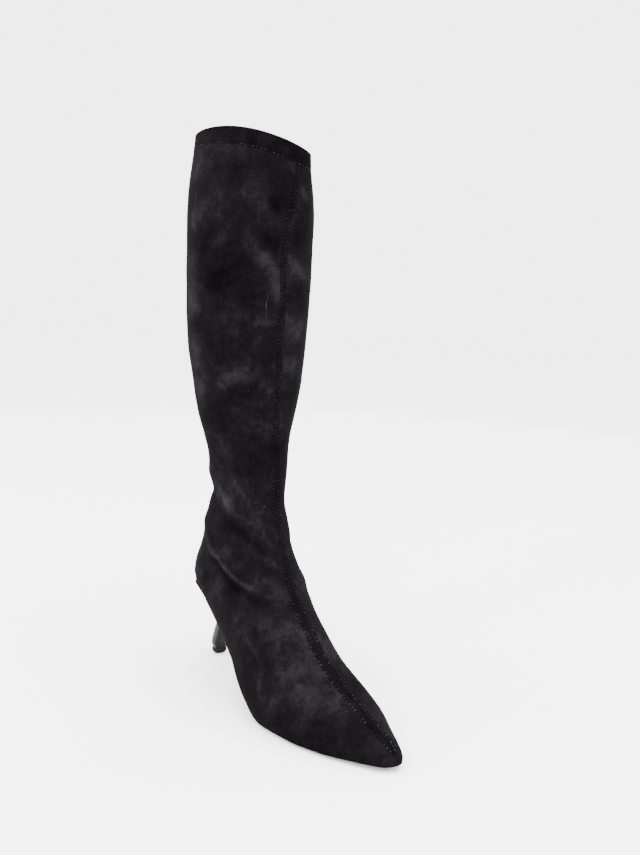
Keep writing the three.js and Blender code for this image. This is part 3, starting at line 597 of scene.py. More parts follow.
@dataclass
class Upper:
    """The suede upper with its hem, seams, folds and lining, in one wall.

    Attributes:
        last: The last that it is drawn over.
        hem_height: Depth of the turned hem.
        hem_rise: How far the hem stands proud of the shaft.
        hem_dip: How much deeper it is at the front seam.
        seam_rise: How far the pads beside a seam stand proud.
        shaft_gap: Distance of a stitch row from the front seam, on the shaft.
        vamp_gap: The same on the vamp.
        back_gap: The same at the back seam.
        ditch: Depth of a seam's ditch.
        ditch_width: Its half width.
        stitch_depth: How deep a stitch row pulls the suede in.
        ditch_shade, stitch_shade, pad_shade: How much darker a seam's ditch and its stitch rows are painted,
            as painted shade in their hollows, and how much darker the vamp's pads are painted.
        hem_shade, hem_stitch_shade: How much darker the hem is painted, and how much painted shade lies along
            its stitch row.
        crest_light: How much painted highlight lightens the folds' crests, and painted shade darkens their
            hollows.
        open_columns: Columns of a half rib between its seam zones.
    """

    last: Last
    hem_height: float = 0.013
    hem_rise: float = 0.0003
    hem_dip: float = 0.0026
    seam_rise: float = 0.0003
    shaft_gap: float = 0.0020
    vamp_gap: float = 0.0037
    back_gap: float = 0.0022
    ditch: float = 0.0006
    ditch_width: float = 0.0005
    stitch_depth: float = 0.0005
    ditch_shade: float = 0.35
    stitch_shade: float = 1.1
    pad_shade: float = 0.42
    hem_shade: float = 0.55
    hem_stitch_shade: float = 0.4
    crest_light: float = 0.85
    open_columns: int = 46

    SEAM_ZONE = np.array([0, 0.45, 0.9, 1.4, 1.95, 2.5, 3.1, 3.7, 4.4, 5.2]) * MM
    RIM_STEPS = 5
    VAMP_END = (7.0, 10.5)  # rows over which the vamp becomes the shaft
    TOE_CLOSING = (-0.6, 2.2)  # rows over which the stitch rows draw together at the toe
    FOLDED_ROWS = (7.4, 15.4)
    RIB_SPACING = 2.7 * MM
    FOLD_SPACING = 1.7 * MM
    TOE_SPACING = 1.5 * MM
    HEM_SPACING = 0.9 * MM
    CREST_WIDTH = 0.6  # width of the painted highlight along a ridge's crest, and of the painted shade along a hollow, share of the fold's
    CRISP_WIDTH = 3.5  # width in millimetres at which a crest's painted highlight, or a hollow's painted shade, is as strong as its rise asks
    CRISPEST = 1.5
    SLACK = ((30, 0.55 * MM), (75, 0.22 * MM))  # unevenness: waves a metre, and height

    def __post_init__(self) -> None:
        """Finds the rib at the hem's lower edge."""
        ends = self.last.ribs(np.array([self.last.collar_row - 1, self.last.collar_row]))
        self.collar_spacing = float(ends[1, Rib.FOOT_Z] - ends[0, Rib.FOOT_Z])
        self.hem_row = self.last.collar_row - (self.hem_height + self.hem_dip) / self.collar_spacing

    def stations(self) -> np.ndarray:
        """Row numbers of the grid's ribs, closer together at the ankle's folds and the hem."""
        toe = 2 * np.linspace(0, 1, 160)[:-1] ** 2.4
        fine = np.concatenate([toe, np.linspace(2, self.last.collar_row, 2600)])
        outer = self.last.half_ribs(fine, Side.OUTER)
        inner = self.last.half_ribs(fine, Side.INNER)
        middle = Last.HALF_STEPS
        watched = np.stack([outer[:, 0], outer[:, middle], outer[:, -1], inner[:, middle]], axis=1)
        moved = np.linalg.norm(np.diff(watched, axis=0), axis=2).max(axis=1)
        wanted = np.full(len(fine), self.RIB_SPACING)
        wanted[(fine > self.FOLDED_ROWS[0]) & (fine < self.FOLDED_ROWS[1])] = self.FOLD_SPACING
        wanted[fine > self.hem_row - 0.07] = self.HEM_SPACING
        wanted[fine < 1.2] = self.TOE_SPACING
        counted = np.concatenate([[0], np.cumsum(moved / wanted[1:])])
        rows = np.interp(np.linspace(0, counted[-1], int(counted[-1]) + 1), counted, fine)
        rows[np.abs(rows - self.last.seat_row).argmin()] = self.last.seat_row
        return rows

    def columns(self, length: float) -> np.ndarray:
        """Distances of a half rib's points from its head."""
        zone = self.SEAM_ZONE * min(1.0, length / (3 * self.SEAM_ZONE[-1]))
        middle = np.linspace(zone[-1], length - zone[-1], self.open_columns + 2)[1:-1]
        return np.concatenate([zone, middle, (length - zone)[::-1]])

    def base(self) -> Skin:
        """The last's own surface as a grid."""
        rows = self.stations()
        halves = [self.last.half_ribs(rows, side) for side in (Side.OUTER, Side.INNER)]
        points, around = [], []
        for outer, inner in zip(*halves):
            line = np.vstack([outer[::-1], inner[1:]])
            known = lengths_along(line)
            known = known - known[len(outer) - 1]
            at = np.concatenate([-self.columns(-known[0])[::-1], self.columns(known[-1])[1:]])
            points.append(resampled(line, at, known))
            around.append(at)
        points, around = np.array(points), np.array(around)
        return Skin(rows, around, points, grid_normals(points, rows >= self.last.seat_row))

    def front_gap(self, rows: np.ndarray) -> np.ndarray:
        """Distance of the stitch rows from the front seam."""
        gap = self.vamp_gap + (self.shaft_gap - self.vamp_gap) * fade(rows, *self.VAMP_END)
        return gap * fade(rows, *self.TOE_CLOSING)

    def seam_relief(self, skin: Skin) -> tuple[np.ndarray, np.ndarray]:
        """The hem, the seams' pads, ditches and stitch rows.

        Args:
            skin: The last's own surface.

        Returns:
            At each point of the skin, how far they rise, and how much lighter they are painted; it is
            negative:
            painted shade in the ditches and along the stitch rows, and darker paint on the vamp's pads and
            the hem.
        """
        rows = skin.rows[:, None]
        from_front = np.abs(skin.around)
        halves = np.where(skin.around < 0, -skin.around[:, :1], skin.around[:, -1:])
        from_back = halves - from_front
        on_vamp = 1 - fade(rows, *self.VAMP_END)
        under_hem = 1 - fade(rows, self.hem_row - 0.02, self.hem_row)
        on_front = fade(rows, 0.35, 0.8) * under_hem
        on_back = fade(rows, self.last.seat_row, self.last.seat_row + 0.1) * under_hem
        relief = np.zeros_like(skin.around)
        light = np.zeros_like(skin.around)
        for distance, row_gap, share in ((from_front, self.front_gap(rows), on_front),
                                         (from_back, self.back_gap, on_back)):
            pad = 1 - fade(distance, row_gap + 0.5 * MM, row_gap + 1.5 * MM)
            ditch = np.exp(-(distance / self.ditch_width) ** 2)
            pulled = np.exp(-((distance - row_gap) / (0.5 * MM)) ** 2)
            relief += share * (self.seam_rise * pad - self.ditch * ditch - self.stitch_depth * pulled)
            # Painted shade in the seam's ditch and along its stitch rows; the vamp's pads are painted darker
            # too.
            shade = self.ditch_shade * ditch + self.stitch_shade * pulled + self.pad_shade * pad * on_vamp
            light -= share * shade
        from_rim = (self.last.collar_row - rows) * self.collar_spacing
        from_stitches = from_rim - self.hem_stitch_depth(skin.around)
        hem = 1 - fade(from_stitches, 0.3 * MM, 2.0 * MM)
        sewn = np.exp(-(from_stitches / (0.7 * MM)) ** 2)
        relief += self.hem_rise * hem - self.stitch_depth * sewn
        # The hem is painted darker, and painted shade lies along its stitch row.
        return relief, light - self.hem_shade * hem - self.hem_stitch_shade * sewn

    def hem_stitch_depth(self, around: np.ndarray) -> np.ndarray:
        """Distance of the hem's stitches from the rim, which is greatest at the front seam."""
        return self.hem_height - 0.7 * MM + self.hem_dip * np.exp(-(around / (22 * MM)) ** 2)

    def line_on(self, skin: Skin, places: tuple[tuple[float, float], ...]) -> np.ndarray:
        """A smooth line on the skin through places given as row number and turn."""
        knots = np.array(places)
        fine = smooth_rows(knots, np.linspace(0, len(knots) - 1, 12 * len(knots)))
        return np.array([skin.read(row, turn * skin.half_length(row))[0] for row, turn in fine])

    def fold_relief(self, skin: Skin) -> tuple[np.ndarray, np.ndarray]:
        """The folds, and the slight unevenness between them.

        Args:
            skin: The last's own surface.

        Returns:
            At each point of the skin, how far they rise, and how much painted highlight lightens their crests
            and painted shade darkens their hollows.
        """
        flat = skin.points.reshape(-1, 3)
        relief = np.zeros(len(flat))
        light = np.zeros(len(flat))
        for fold in FOLDS:
            line = self.line_on(skin, fold.places)
            reach = 3 * fold.width * MM
            near = np.all((flat > line.min(axis=0) - reach) & (flat < line.max(axis=0) + reach), axis=1)
            gaps = np.linalg.norm(flat[near][:, None] - line[None], axis=2)
            nearest = gaps.argmin(axis=1)
            share = nearest / (len(line) - 1)
            ends = fade(share, -0.12, 0.3) * fade(1 - share, -0.12, 0.3)
            from_crest = gaps.min(axis=1) / (fold.width * MM)
            relief[near] += fold.rise * MM * ends * np.exp(-from_crest ** 2)
            # Painted highlight along a ridge's crest, and painted shade along a hollow, crisper on narrow
            # folds.
            crisp = min(self.CRISPEST, math.sqrt(self.CRISP_WIDTH / fold.width))
            crest = ends * np.exp(-(from_crest / self.CREST_WIDTH) ** 2)
            light[near] += crisp * math.tanh(0.7 * fold.rise) * crest
        (broad, high), (fine, low) = self.SLACK
        apart = Vector((7, 3, 1))
        relief += np.array([
            noise.noise(Vector(p) * broad) * high + noise.noise(Vector(p) * fine + apart) * low for p in flat
        ])
        relief = relief.reshape(skin.around.shape)
        rows = skin.rows[:, None]
        settled = fade(rows, 0.4, 3.0) * (0.35 + 0.65 * fade(rows, 6.0, 8.5))
        settled = settled * (1 - 0.6 * fade(rows, self.hem_row - 0.15, self.last.collar_row))
        relief = relief * settled * (0.1 + 0.9 * fade(self.from_sole(skin), 0.0, 5.5 * MM))
        return relief, light.reshape(relief.shape)

    def from_sole(self, skin: Skin) -> np.ndarray:
        """Distance of each point of the skin from the upper's lower edge."""
        open_rows = skin.rows <= self.last.seat_row
        edge = np.vstack([skin.points[open_rows, 0], skin.points[open_rows, -1]])
        low = skin.rows < self.last.seat_row + 2.5
        distance = np.full(skin.around.shape, 1.0)
        for i in np.flatnonzero(low):
            distance[i] = np.linalg.norm(skin.points[i][:, None] - edge[None], axis=2).min(axis=1)
        return distance

    def nap(self, skin: Skin) -> np.ndarray:
        """How light the patches paint each point of the skin: brushed nap, painted sheen and painted top
        light.
        """
        flat = skin.points.reshape(-1, 3)
        light = np.zeros(len(flat))
        for patch in NAP_AND_LIGHT_PATCHES:
            middle, _ = skin.read(patch.row, patch.turn * skin.half_length(patch.row))
            light += patch.light * np.exp(-(np.linalg.norm(flat - middle, axis=1) / (patch.radius * MM)) ** 2)
        return light.reshape(skin.around.shape)

    def shaped(self) -> tuple[Skin, Skin, np.ndarray]:
        """The outside of the upper, the inside of its wall, and its tone: brushed nap with painted light and
        shade.
        """
        base = self.base()
        joined = base.rows >= self.last.seat_row
        folds, crests = self.fold_relief(base)
        seams, sewn = self.seam_relief(base)
        outside = base.points + base.normals * (folds + seams)[:, :, None]
        inside = base.points + base.normals * (folds - self.last.sizes.wall)[:, :, None]
        for side, column in ((Side.OUTER, 0), (Side.INNER, -1)):
            open_rows = base.rows <= self.last.seat_row
            edge = self.last.sole_edge(base.rows[open_rows], side, -self.last.sizes.wall)
            x, f = edge[:, 0], edge[:, 1]
            inside[open_rows, column] = self.last.placed(x, f, self.last.sole_height(f))
        outer_skin = Skin(base.rows, base.around, outside, grid_normals(outside, joined))
        # The tone adds painted light and shade to the brushed nap: painted sheen and top light, painted
        # highlights on fold crests, painted shade in hollows, seams and hem.
        light = np.clip(self.nap(base) + self.crest_light * crests + sewn, -1, 1)
        return outer_skin, Skin(base.rows, base.around, inside, base.normals), light

    def rim(self, outside: np.ndarray, inside: np.ndarray, up: np.ndarray) -> list[np.ndarray]:
        """Points of the rounded rim between the wall's two sides, without the sides' own."""
        middle = (outside + inside) / 2
        half = (outside - inside) / 2
        height = np.linalg.norm(half, axis=1)[:, None] * up
        angles = np.linspace(0, math.pi, self.RIM_STEPS + 2)[1:-1]
        return [middle + half * math.cos(a) + height * math.sin(a) for a in angles]

    def build(self) -> tuple[Piece, Skin]:
        """Makes the upper's mesh.

        Returns:
            The piece, and the skin of its outside for the stitches.
        """
        outer, inner, light = self.shaped()
        ribs, columns = outer.around.shape
        up = outer.points[-1] - outer.points[-2]
        up /= np.linalg.norm(up, axis=1)[:, None]
        rim = self.rim(outer.points[-1], inner.points[-1], up)
        points = np.concatenate([outer.points.reshape(-1, 3), *rim, inner.points[::-1].reshape(-1, 3)])
        rows = 2 * ribs + len(rim)
        ids = np.arange(rows * columns).reshape(rows, columns)
        quads = np.stack([ids[:-1, :-1], ids[:-1, 1:], ids[1:, 1:], ids[1:, :-1]], axis=-1).reshape(-1, 4)
        open_ribs = int((outer.rows <= self.last.seat_row).sum())
        lower = []
        for column, turned in ((0, False), (columns - 1, True)):
            wall = ids[:open_ribs, column]
            lining = ids[::-1][:open_ribs, column]
            strip = np.stack([wall[:-1], wall[1:], lining[1:], lining[:-1]], axis=-1)
            lower.append(strip[:, ::-1] if turned else strip)
        faces = np.vstack([quads, *lower])
        lining_from = (ribs + len(rim) + int((outer.rows > self.hem_row).sum())) * columns
        slots = (faces.min(axis=1) >= lining_from).astype(int)
        piece = mesh_piece("suede_upper", points, faces, slots)
        # This layer carries the suede's tone: brushed nap, and painted light and shade.
        nap = np.concatenate([light.ravel(), np.zeros(len(points) - ribs * columns)])
        layer = piece.data.attributes.new("nap", "FLOAT", "POINT")
        layer.data.foreach_set("value", nap.astype(np.float32))
        welded(piece)
        return piece, outer


def mesh_piece(name: str, points: np.ndarray, faces: np.ndarray | list, slots: np.ndarray | None = None
               ) -> Piece:
    """Makes an object of points and faces, smoothly shaded.

    Args:
        name: The piece's name.
        points: Its points, a row each.
        faces: Its faces as point numbers.
        slots: Material slot of each face, or None.

    Returns:
        The new object, linked to the scene.
    """
    mesh = bpy.data.meshes.new(name)
    mesh.from_pydata(points.tolist(), [], faces.tolist() if isinstance(faces, np.ndarray) else faces)
    if slots is not None:
        mesh.polygons.foreach_set("material_index", slots.astype(np.int32))
    mesh.shade_smooth()
    piece = bpy.data.objects.new(name, mesh)
    bpy.context.scene.collection.objects.link(piece)
    return piece


def welded(piece: Piece) -> None:
    """Joins points that coincide and drops faces that have no area."""
    sheet = bmesh.new()
    sheet.from_mesh(piece.data)
    bmesh.ops.remove_doubles(sheet, verts=sheet.verts, dist=2e-6)
    bmesh.ops.dissolve_degenerate(sheet, edges=sheet.edges, dist=2e-6)
    sheet.to_mesh(piece.data)
    sheet.free()


def ring_faces(rings: int, count: int) -> list[tuple[int, ...]]:
    """Faces between closed rings of equal length, with a cap on the first and the last."""
    faces = []
    for i in range(rings - 1):
        for j in range(count):
            k = (j + 1) % count
            faces.append((i * count + j, i * count + k, (i + 1) * count + k, (i + 1) * count + j))
    faces.append(tuple(range(count))[::-1])
    faces.append(tuple((rings - 1) * count + j for j in range(count)))
    return faces


def turned_out(piece: Piece) -> None:
    """Turns a closed piece's faces outwards."""
    sheet = bmesh.new()
    sheet.from_mesh(piece.data)
    bmesh.ops.recalc_face_normals(sheet, faces=sheet.faces)
    sheet.to_mesh(piece.data)
    sheet.free()


def lofted(name: str, rings: np.ndarray, degrees: float) -> Piece:
    """Makes a closed piece through rings of points.

    Args:
        name: The piece's name.
        rings: The rings, [ring, point, axis].
        degrees: The sharpest edge that is shaded smoothly.

    Returns:
        The new object, its faces outwards.
    """
    piece = mesh_piece(name, rings.reshape(-1, 3), ring_faces(len(rings), rings.shape[1]))
    welded(piece)
    turned_out(piece)
    shade_by_angle(piece, degrees)
    return piece


@dataclass
class Sole:
    """The outsole and the sock inside, drawn along the last's lower edge.

    Attributes:
        last: The last.
        seat_gap: Room between the upper's edge and the outsole.
        edge_height: Height of the outsole's edge above its bevel.
        edge_rounding: Rounding of that edge's upper side.
        overhang: How far the edge stands out.
        tuck: How far the bevel runs in under the boot.
        sock_margin: The sock's edge inside the wall.
        sock_thickness: The sock's thickness.
        sock_crown: How far the sock's middle stands above its edge.
    """

    last: Last
    seat_gap: float = 0.00012
    edge_height: float = 0.0006
    edge_rounding: float = 0.0003
    overhang: float = 0.0002
    tuck: float = 0.0045
    sock_margin: float = 0.0004
    sock_thickness: float = 0.0021
    sock_crown: float = 0.0007

    ROWS_PER_MM = 0.55

    def rows(self, start: float, end: float) -> np.ndarray:
        """Row numbers from the toe's end to the back's, evenly spaced along the foot."""
        fine = np.linspace(start, end, 1500)
        edge = self.last.sole_edge(fine, Side.OUTER, 0.0)
        known = lengths_along(edge)
        return np.interp(np.linspace(0, known[-1], int(known[-1] / MM * self.ROWS_PER_MM)), known, fine)

    def across(self, rows: np.ndarray, profile: list[tuple[float, float]], flip: float) -> np.ndarray:
        """Rings of points round a plate.

        Args:
            rows: Row numbers of the rings.
            profile: For each step down the plate's edge, its margin outwards and its depth.
            flip: 1 where the depth runs down, -1 where it runs up.

        Returns:
            The rings' points, [ring, point, axis].
        """
        sides = []
        for side in (Side.INNER, Side.OUTER):
            steps = []
            for margin, depth in profile:
                edge = self.last.sole_edge(rows, side, margin)
                drop = flip * depth * self.last.sole_steepness(edge[:, 1])
                z = self.last.sole_height(edge[:, 1]) - drop
                steps.append(self.last.placed(edge[:, 0], edge[:, 1], z))
            sides.append(np.stack(steps, axis=1))
        inner, outer = sides
        return np.concatenate([inner, outer[:, ::-1]], axis=1)

    def build_outsole(self) -> Piece:
        """Makes the outsole with its bevelled edge."""
        s = self.last.sizes
        breast = self.last.seat_back + s.heel_length
        bottom = s.clearance + s.sole_thickness
        edge = self.seat_gap + self.edge_height
        rounding, overhang = self.edge_rounding, self.overhang
        profile = [(-rounding, self.seat_gap), (rounding, self.seat_gap + rounding), (overhang, edge)]
        for t in (0.25, 0.5, 0.75, 1.0):
            profile.append((overhang - self.tuck * t, edge + (bottom - edge) * t ** 0.9))
        rings = self.across(self.rows(0.0, self.last.sole_row(breast)), profile, 1.0)
        return lofted("sole_plate", rings, 38)

    def build_sock(self) -> Piece:
        """Makes the padded sock that covers the insole board."""
        margin = -(self.last.sizes.wall + self.sock_margin)
        thick = self.sock_thickness
        profile = [(margin, 0.0), (margin, thick * 0.7), (margin - 0.6 * MM, thick * 0.95),
                   (margin - 3 * MM, thick), (margin - 9 * MM, thick + self.sock_crown)]
        rings = self.across(self.rows(1.4, self.last.seat_row - 0.05), profile, -1.0)
        return lofted("sock", rings, 50)


def shade_by_angle(piece: Piece, degrees: float) -> None:
    """Shades a piece smoothly except at edges sharper than an angle."""
    bpy.ops.object.select_all(action="DESELECT")
    piece.select_set(True)
    bpy.context.view_layer.objects.active = piece
    bpy.ops.object.shade_smooth_by_angle(angle=math.radians(degrees))
    piece.select_set(False)


@dataclass
class Heel:
    """The moulded heel under the seat, and the lift that it stands on.

    Attributes:
        last: The last.
        side_steps: Points of a ring from its back to its front corner.
        breast_steps: Points from there to the middle of the breast.
        rings_per_section: Rings between two sections of the table.
        corner_turn: Where the tip's front corners start, share of a half turn from the back.
        breast_power: Squareness of those corners.
        lift_bevel: Width of the bevel round the lift's upper face.
        lift_corner: Rounding of its front corners.
        lift_wear: How much rounder its lower edge is than in the sizes.
        lift_inset: How far the worn lift's edge lies inside the tip's.
        foot_rounding: How much further the tip's lower end tapers than in the sizes.
    """

    last: Last
    side_steps: int = 22
    breast_steps: int = 8
    rings_per_section: int = 6
    corner_turn: float = 0.75
    breast_power: float = 5.0
    lift_bevel: float = 0.0003
    lift_corner: float = 0.0022
    lift_wear: float = 1.9
    lift_inset: float = 0.0003
    foot_rounding: float = 0.0003

    def tip_shape(self) -> np.ndarray:
        """Half the tip's outline: across from 0 to 1, along from 0 at the back to 1 at the breast."""
        side = np.linspace(0, self.corner_turn, self.side_steps + 1)
        breast = np.linspace(self.corner_turn, 1, self.breast_steps + 1)[1:]
        angle = math.pi * np.concatenate([side, breast])
        power = np.where(angle < math.pi / 2, 2.0, self.breast_power)
        along = np.sign(np.cos(angle)) * np.abs(np.cos(angle)) ** (2 / power)
        return np.stack([np.clip(np.sin(angle), 0, 1) ** (2 / power), (1 - along) / 2], axis=1)

    def seat_shape(self, side: Side) -> np.ndarray:
        """Half the seat's outline, as x and f."""
        breast_f = self.last.seat_back + self.last.sizes.heel_length - self.last.sizes.breast_gap
        breast_row = self.last.sole_row(breast_f)
        share = np.linspace(0, 1, self.side_steps + 1) ** 2
        rows = self.last.seat_row + (breast_row - self.last.seat_row) * share
        sides = self.last.sole_edge(rows, side, 0.0)
        middle = np.array([self.last.ribs(np.array([breast_row]))[0, Rib.SWING], sides[-1, 1]])
        turn = np.linspace(0, 1, self.breast_steps + 1)[1:, None]
        return np.vstack([sides, sides[-1] * (1 - turn) + middle * turn])

    def ring(self, halves: list[np.ndarray]) -> np.ndarray:
        """A whole ring of points from its two halves, which share their ends."""
        return np.vstack([halves[0], halves[1][1:-1][::-1]])

    def build_heel(self) -> Piece:
        """Makes the heel as a loft from the seat to the tip."""
        s = self.last.sizes
        seats = {side: self.seat_shape(side) for side in Side}
        half_seat = max(np.abs(shape[:, 0] - self.last.seat_middle).max() for shape in seats.values())
        middle_z = self.last.sole_height(np.array([self.last.seat_back + s.heel_length / 2]))[0]
        tip = self.tip_shape()
        up_at_seat = (middle_z - s.clearance) / s.heel_height
        foot_up = (s.lift_thickness + s.clearance / 2) / s.heel_height
        drawn_in = s.tip_taper + self.foot_rounding
        taper = drawn_in / s.heel_length
        foot_back = HEEL_SECTIONS[-1][2] + taper
        foot_front = HEEL_SECTIONS[-1][2] + s.tip_length / s.heel_length - taper
        foot = (foot_up, 0, foot_back, foot_front, 0, 0, 1 - 2 * drawn_in / s.tip_width, 1)
        sections = [(*row, 1 - row[0]) for row in HEEL_SECTIONS]
        table = [(up_at_seat, 1, 0, 1, 1, 0, 0, 0), *sections, foot]
        at = np.linspace(0, len(table) - 1, self.rings_per_section * (len(table) - 1) + 1)
        rings = []
        for values in smooth_rows(np.array(table, dtype=float), at):
            row = dict(zip((*HEEL_COLUMNS, "lean"), values))
            half = row["seat"] * half_seat + (row["neck"] * s.neck_width + row["tip"] * s.tip_width) / 2
            x_middle = self.last.seat_middle + s.tip_lean * row["lean"]
            share = min(max(row["seat"], 0.0), 1.0)
            halves = []
            for side in Side:
                seat = seats[side]
                seat_across = (seat[:, 0] - self.last.seat_middle) / half_seat
                across = side.value * tip[:, 0] * (1 - share) + seat_across * share
                seat_along = (seat[:, 1] - self.last.seat_back) / s.heel_length
                along = tip[:, 1] * (1 - share) + seat_along * share
                f = self.last.seat_back + s.heel_length * (row["back"] + (row["front"] - row["back"]) * along)
                z = row["up"] * s.heel_height + row["slant"] * (self.last.sole_height(f) - middle_z)
                halves.append(self.last.placed(x_middle + across * half, f, z))
            rings.append(self.ring(halves))
        return lofted("gloss_heel", np.array(rings), 48)

    def build_lift(self) -> Piece:
        """Makes the lift: a block with a round back, rounded front corners and a rounded lower edge."""
        s = self.last.sizes
        margin = s.lift_margin - s.tip_taper - self.lift_inset
        width = s.tip_width + 2 * margin
        length = s.tip_length + 2 * margin
        back = self.last.seat_back + HEEL_SECTIONS[-1][2] * s.heel_length - margin
        middle = self.last.placed(np.array(self.last.tip_x), np.array(back + length / 2), np.array(0.0))
        bpy.ops.object.select_all(action="DESELECT")
        bpy.ops.mesh.primitive_cube_add(size=1, location=(middle[0], middle[1], s.lift_thickness / 2))
        piece = bpy.context.object
        piece.name = "rubber_lift"
        piece.scale = (width, length, s.lift_thickness)
        bpy.ops.object.transform_apply(location=True, rotation=True, scale=True)

        def upright(a: Vector, b: Vector) -> bool:
            """Whether an edge stands upright."""
            return abs(a.z - b.z) > s.lift_thickness / 2

        self.bevel(piece, lambda a, b: upright(a, b) and a.y > middle[1], width / 2 - 0.2 * MM, 14)
        self.bevel(piece, lambda a, b: upright(a, b) and a.y < middle[1], self.lift_corner, 6)
        self.bevel(piece, lambda a, b: max(a.z, b.z) < 0.1 * MM, self.lift_wear * s.lift_rounding, 8)
        self.bevel(piece, lambda a, b: min(a.z, b.z) > s.lift_thickness - 0.1 * MM, self.lift_bevel, 2)
        shade_by_angle(piece, 40)
        return piece

    def bevel(self, piece: Piece, chosen: Callable[[Vector, Vector], bool], width: float,
              segments: int) -> None:
        """Rounds the edges of a piece that a rule chooses.

        Args:
            piece: The piece.
            chosen: The rule, given the two ends of an edge.
            width: Width of the rounding.
            segments: Faces across it.
        """
        bpy.ops.object.select_all(action="DESELECT")
        piece.select_set(True)
        bpy.context.view_layer.objects.active = piece
        bpy.ops.object.mode_set(mode="EDIT")
        bpy.ops.mesh.select_mode(type="EDGE")
        bpy.ops.mesh.select_all(action="DESELECT")
        bpy.ops.object.mode_set(mode="OBJECT")
        for edge in piece.data.edges:
            edge.select = chosen(*(piece.data.vertices[i].co for i in edge.vertices))
        bpy.ops.object.mode_set(mode="EDIT")
        bpy.ops.mesh.bevel(offset=width, segments=segments, affect="EDGES")
        bpy.ops.object.mode_set(mode="OBJECT")


@dataclass(frozen=True)
class StitchRow:
    """One row of stitches.

    Attributes:
        line: Points on the suede, a row each.
        normals: Outward directions there.
        pitch: Distance from stitch to stitch.
        length: Length of a stitch.
        light: How light the thread is painted at each point, from 0 to 1, painted glints included.
    """

    line: np.ndarray
    normals: np.ndarray
    pitch: float
    length: float
    light: np.ndarray


@dataclass
class Stitching:
    """The stitches of the seams and the hem, all in one thread.

    Attributes:
        upper: The upper that they sew.
        skin: The upper's outside.
        thread: Radius of the thread.
        sink: How deep a stitch lies in the suede.
        seam_pitch: Distance between stitches of a seam.
        hem_pitch: The same at the hem.
        seam_stitch, back_stitch, hem_stitch: Lengths of the stitches there.
        proud: Share of the thread's radius by which a stitch stands out.
        shaft_light, vamp_light, hem_light: How light the thread is painted there; the vamp's is highest, as
        painted glints.
    """

    upper: Upper
    skin: Skin
    thread: float = 0.00026
    sink: float = 0.00002
    seam_pitch: float = 0.0030
    hem_pitch: float = 0.0036
    seam_stitch: float = 0.0017
    back_stitch: float = 0.0019
    hem_stitch: float = 0.0021
    proud: float = 0.55
    shaft_light: float = 0.12
    vamp_light: float = 0.33
    hem_light: float = 0.24

    def seam_rows(self) -> list[StitchRow]:
        """Both rows beside the front seam and both beside the back seam."""
        found = []
        top = self.upper.hem_row - 0.03
        for side in Side:
            rows = np.linspace(0.75, top, 900)
            gaps = side.value * self.upper.front_gap(rows)
            read = [self.skin.read(row, gap) for row, gap in zip(rows, gaps)]
            # The vamp's stitches are painted lighter than the shaft's: painted glints.
            light = self.vamp_light + (self.shaft_light - self.vamp_light) * fade(rows, 6.5, 9.5)
            found.append(self._row(read, self.seam_pitch, self.seam_stitch, light))
            rows = np.linspace(self.upper.last.seat_row + 0.12, top, 500)
            read = [self.skin.read(row, side.value * (self.skin.half_length(row, side) - self.upper.back_gap))
                    for row in rows]
            light = np.full(len(rows), self.shaft_light)
            found.append(self._row(read, self.seam_pitch, self.back_stitch, light))
        return found

    def hem_rows(self) -> list[StitchRow]:
        """The row that holds the turned hem."""
        ends = [self.skin.half_length(self.upper.last.collar_row - 0.1, side) for side in Side]
        around = np.linspace(-ends[0], ends[1], 500)
        rows = self.upper.last.collar_row - self.upper.hem_stitch_depth(around) / self.upper.collar_spacing
        read = [self.skin.read(row, place) for row, place in zip(rows, around)]
        light = np.full(len(read), self.hem_light)
        return [self._row(read, self.hem_pitch, self.hem_stitch, light)]

    def _row(self, read: list[tuple[np.ndarray, np.ndarray]], pitch: float, length: float,
             light: np.ndarray) -> StitchRow:
        """A stitch row from places read off the skin."""
        line, normals = (np.array(part) for part in zip(*read))
        return StitchRow(line, normals, pitch, length, light)

    def build(self) -> Piece:
        """Makes every stitch, as one piece."""
        beads = Beads("stitches")
        # Random draws that paint each stitch lighter or darker: painted glints of the thread.
        worn = np.random.default_rng(5)
        for row in self.seam_rows() + self.hem_rows():
            known = lengths_along(row.line)
            middles = np.arange(row.pitch / 2, known[-1], row.pitch)
            line = resampled(row.line, middles, known)
            near = [resampled(row.line, middles + step, known) for step in (0.3 * MM, -0.3 * MM)]
            ahead = near[0] - near[1]
            normals = resampled(row.normals, middles, known)
            lights = np.interp(middles, known, row.light) * worn.uniform(0.15, 1.35, len(middles)) ** 1.5
            for middle, along, out, light in zip(line, ahead, normals, lights):
                raised = middle + out * (self.thread - self.sink) * self.proud
                beads.add(raised, along, out, (row.length, 2 * self.thread), float(light))
        return beads.build()


@dataclass(frozen=True)
class Speck:
    """A fibre of lint, or a scratch of the nap.

    Attributes:
        row: Row number of its middle.
        turn: Turn of its middle, as for a fold.
        length: Its length in millimetres.
        width: Its width in millimetres.
        light: How light it is, from 0 to 1.
    """

    row: float
    turn: float
    length: float
    width: float
    light: float


SPECKS = (
    Speck(15.69, -0.372, 0.7, 0.35, 0.5), Speck(15.24, -0.174, 0.6, 0.45, 0.45),
    Speck(14.65, -0.219, 0.6, 0.4, 0.6), Speck(13.65, -0.077, 0.6, 0.5, 1.0),
    Speck(17.92, -0.228, 0.6, 0.35, 0.4), Speck(16.96, -0.175, 0.7, 0.3, 0.4),
    Speck(19.05, -0.274, 0.6, 0.3, 0.35), Speck(16.37, -0.105, 0.6, 0.3, 0.35),
    Speck(12.4, 0.3, 0.7, 0.4, 0.4), Speck(17.4, 0.5, 0.7, 0.35, 0.4), Speck(6.2, -0.3, 0.6, 0.35, 0.35),
    Speck(4.4, 0.3, 0.6, 0.35, 0.35), Speck(18.40, -0.080, 7.5, 0.4, 0.2),
    Speck(18.28, -0.086, 8.5, 0.5, 0.32), Speck(18.15, -0.087, 7.5, 0.4, 0.2),
)


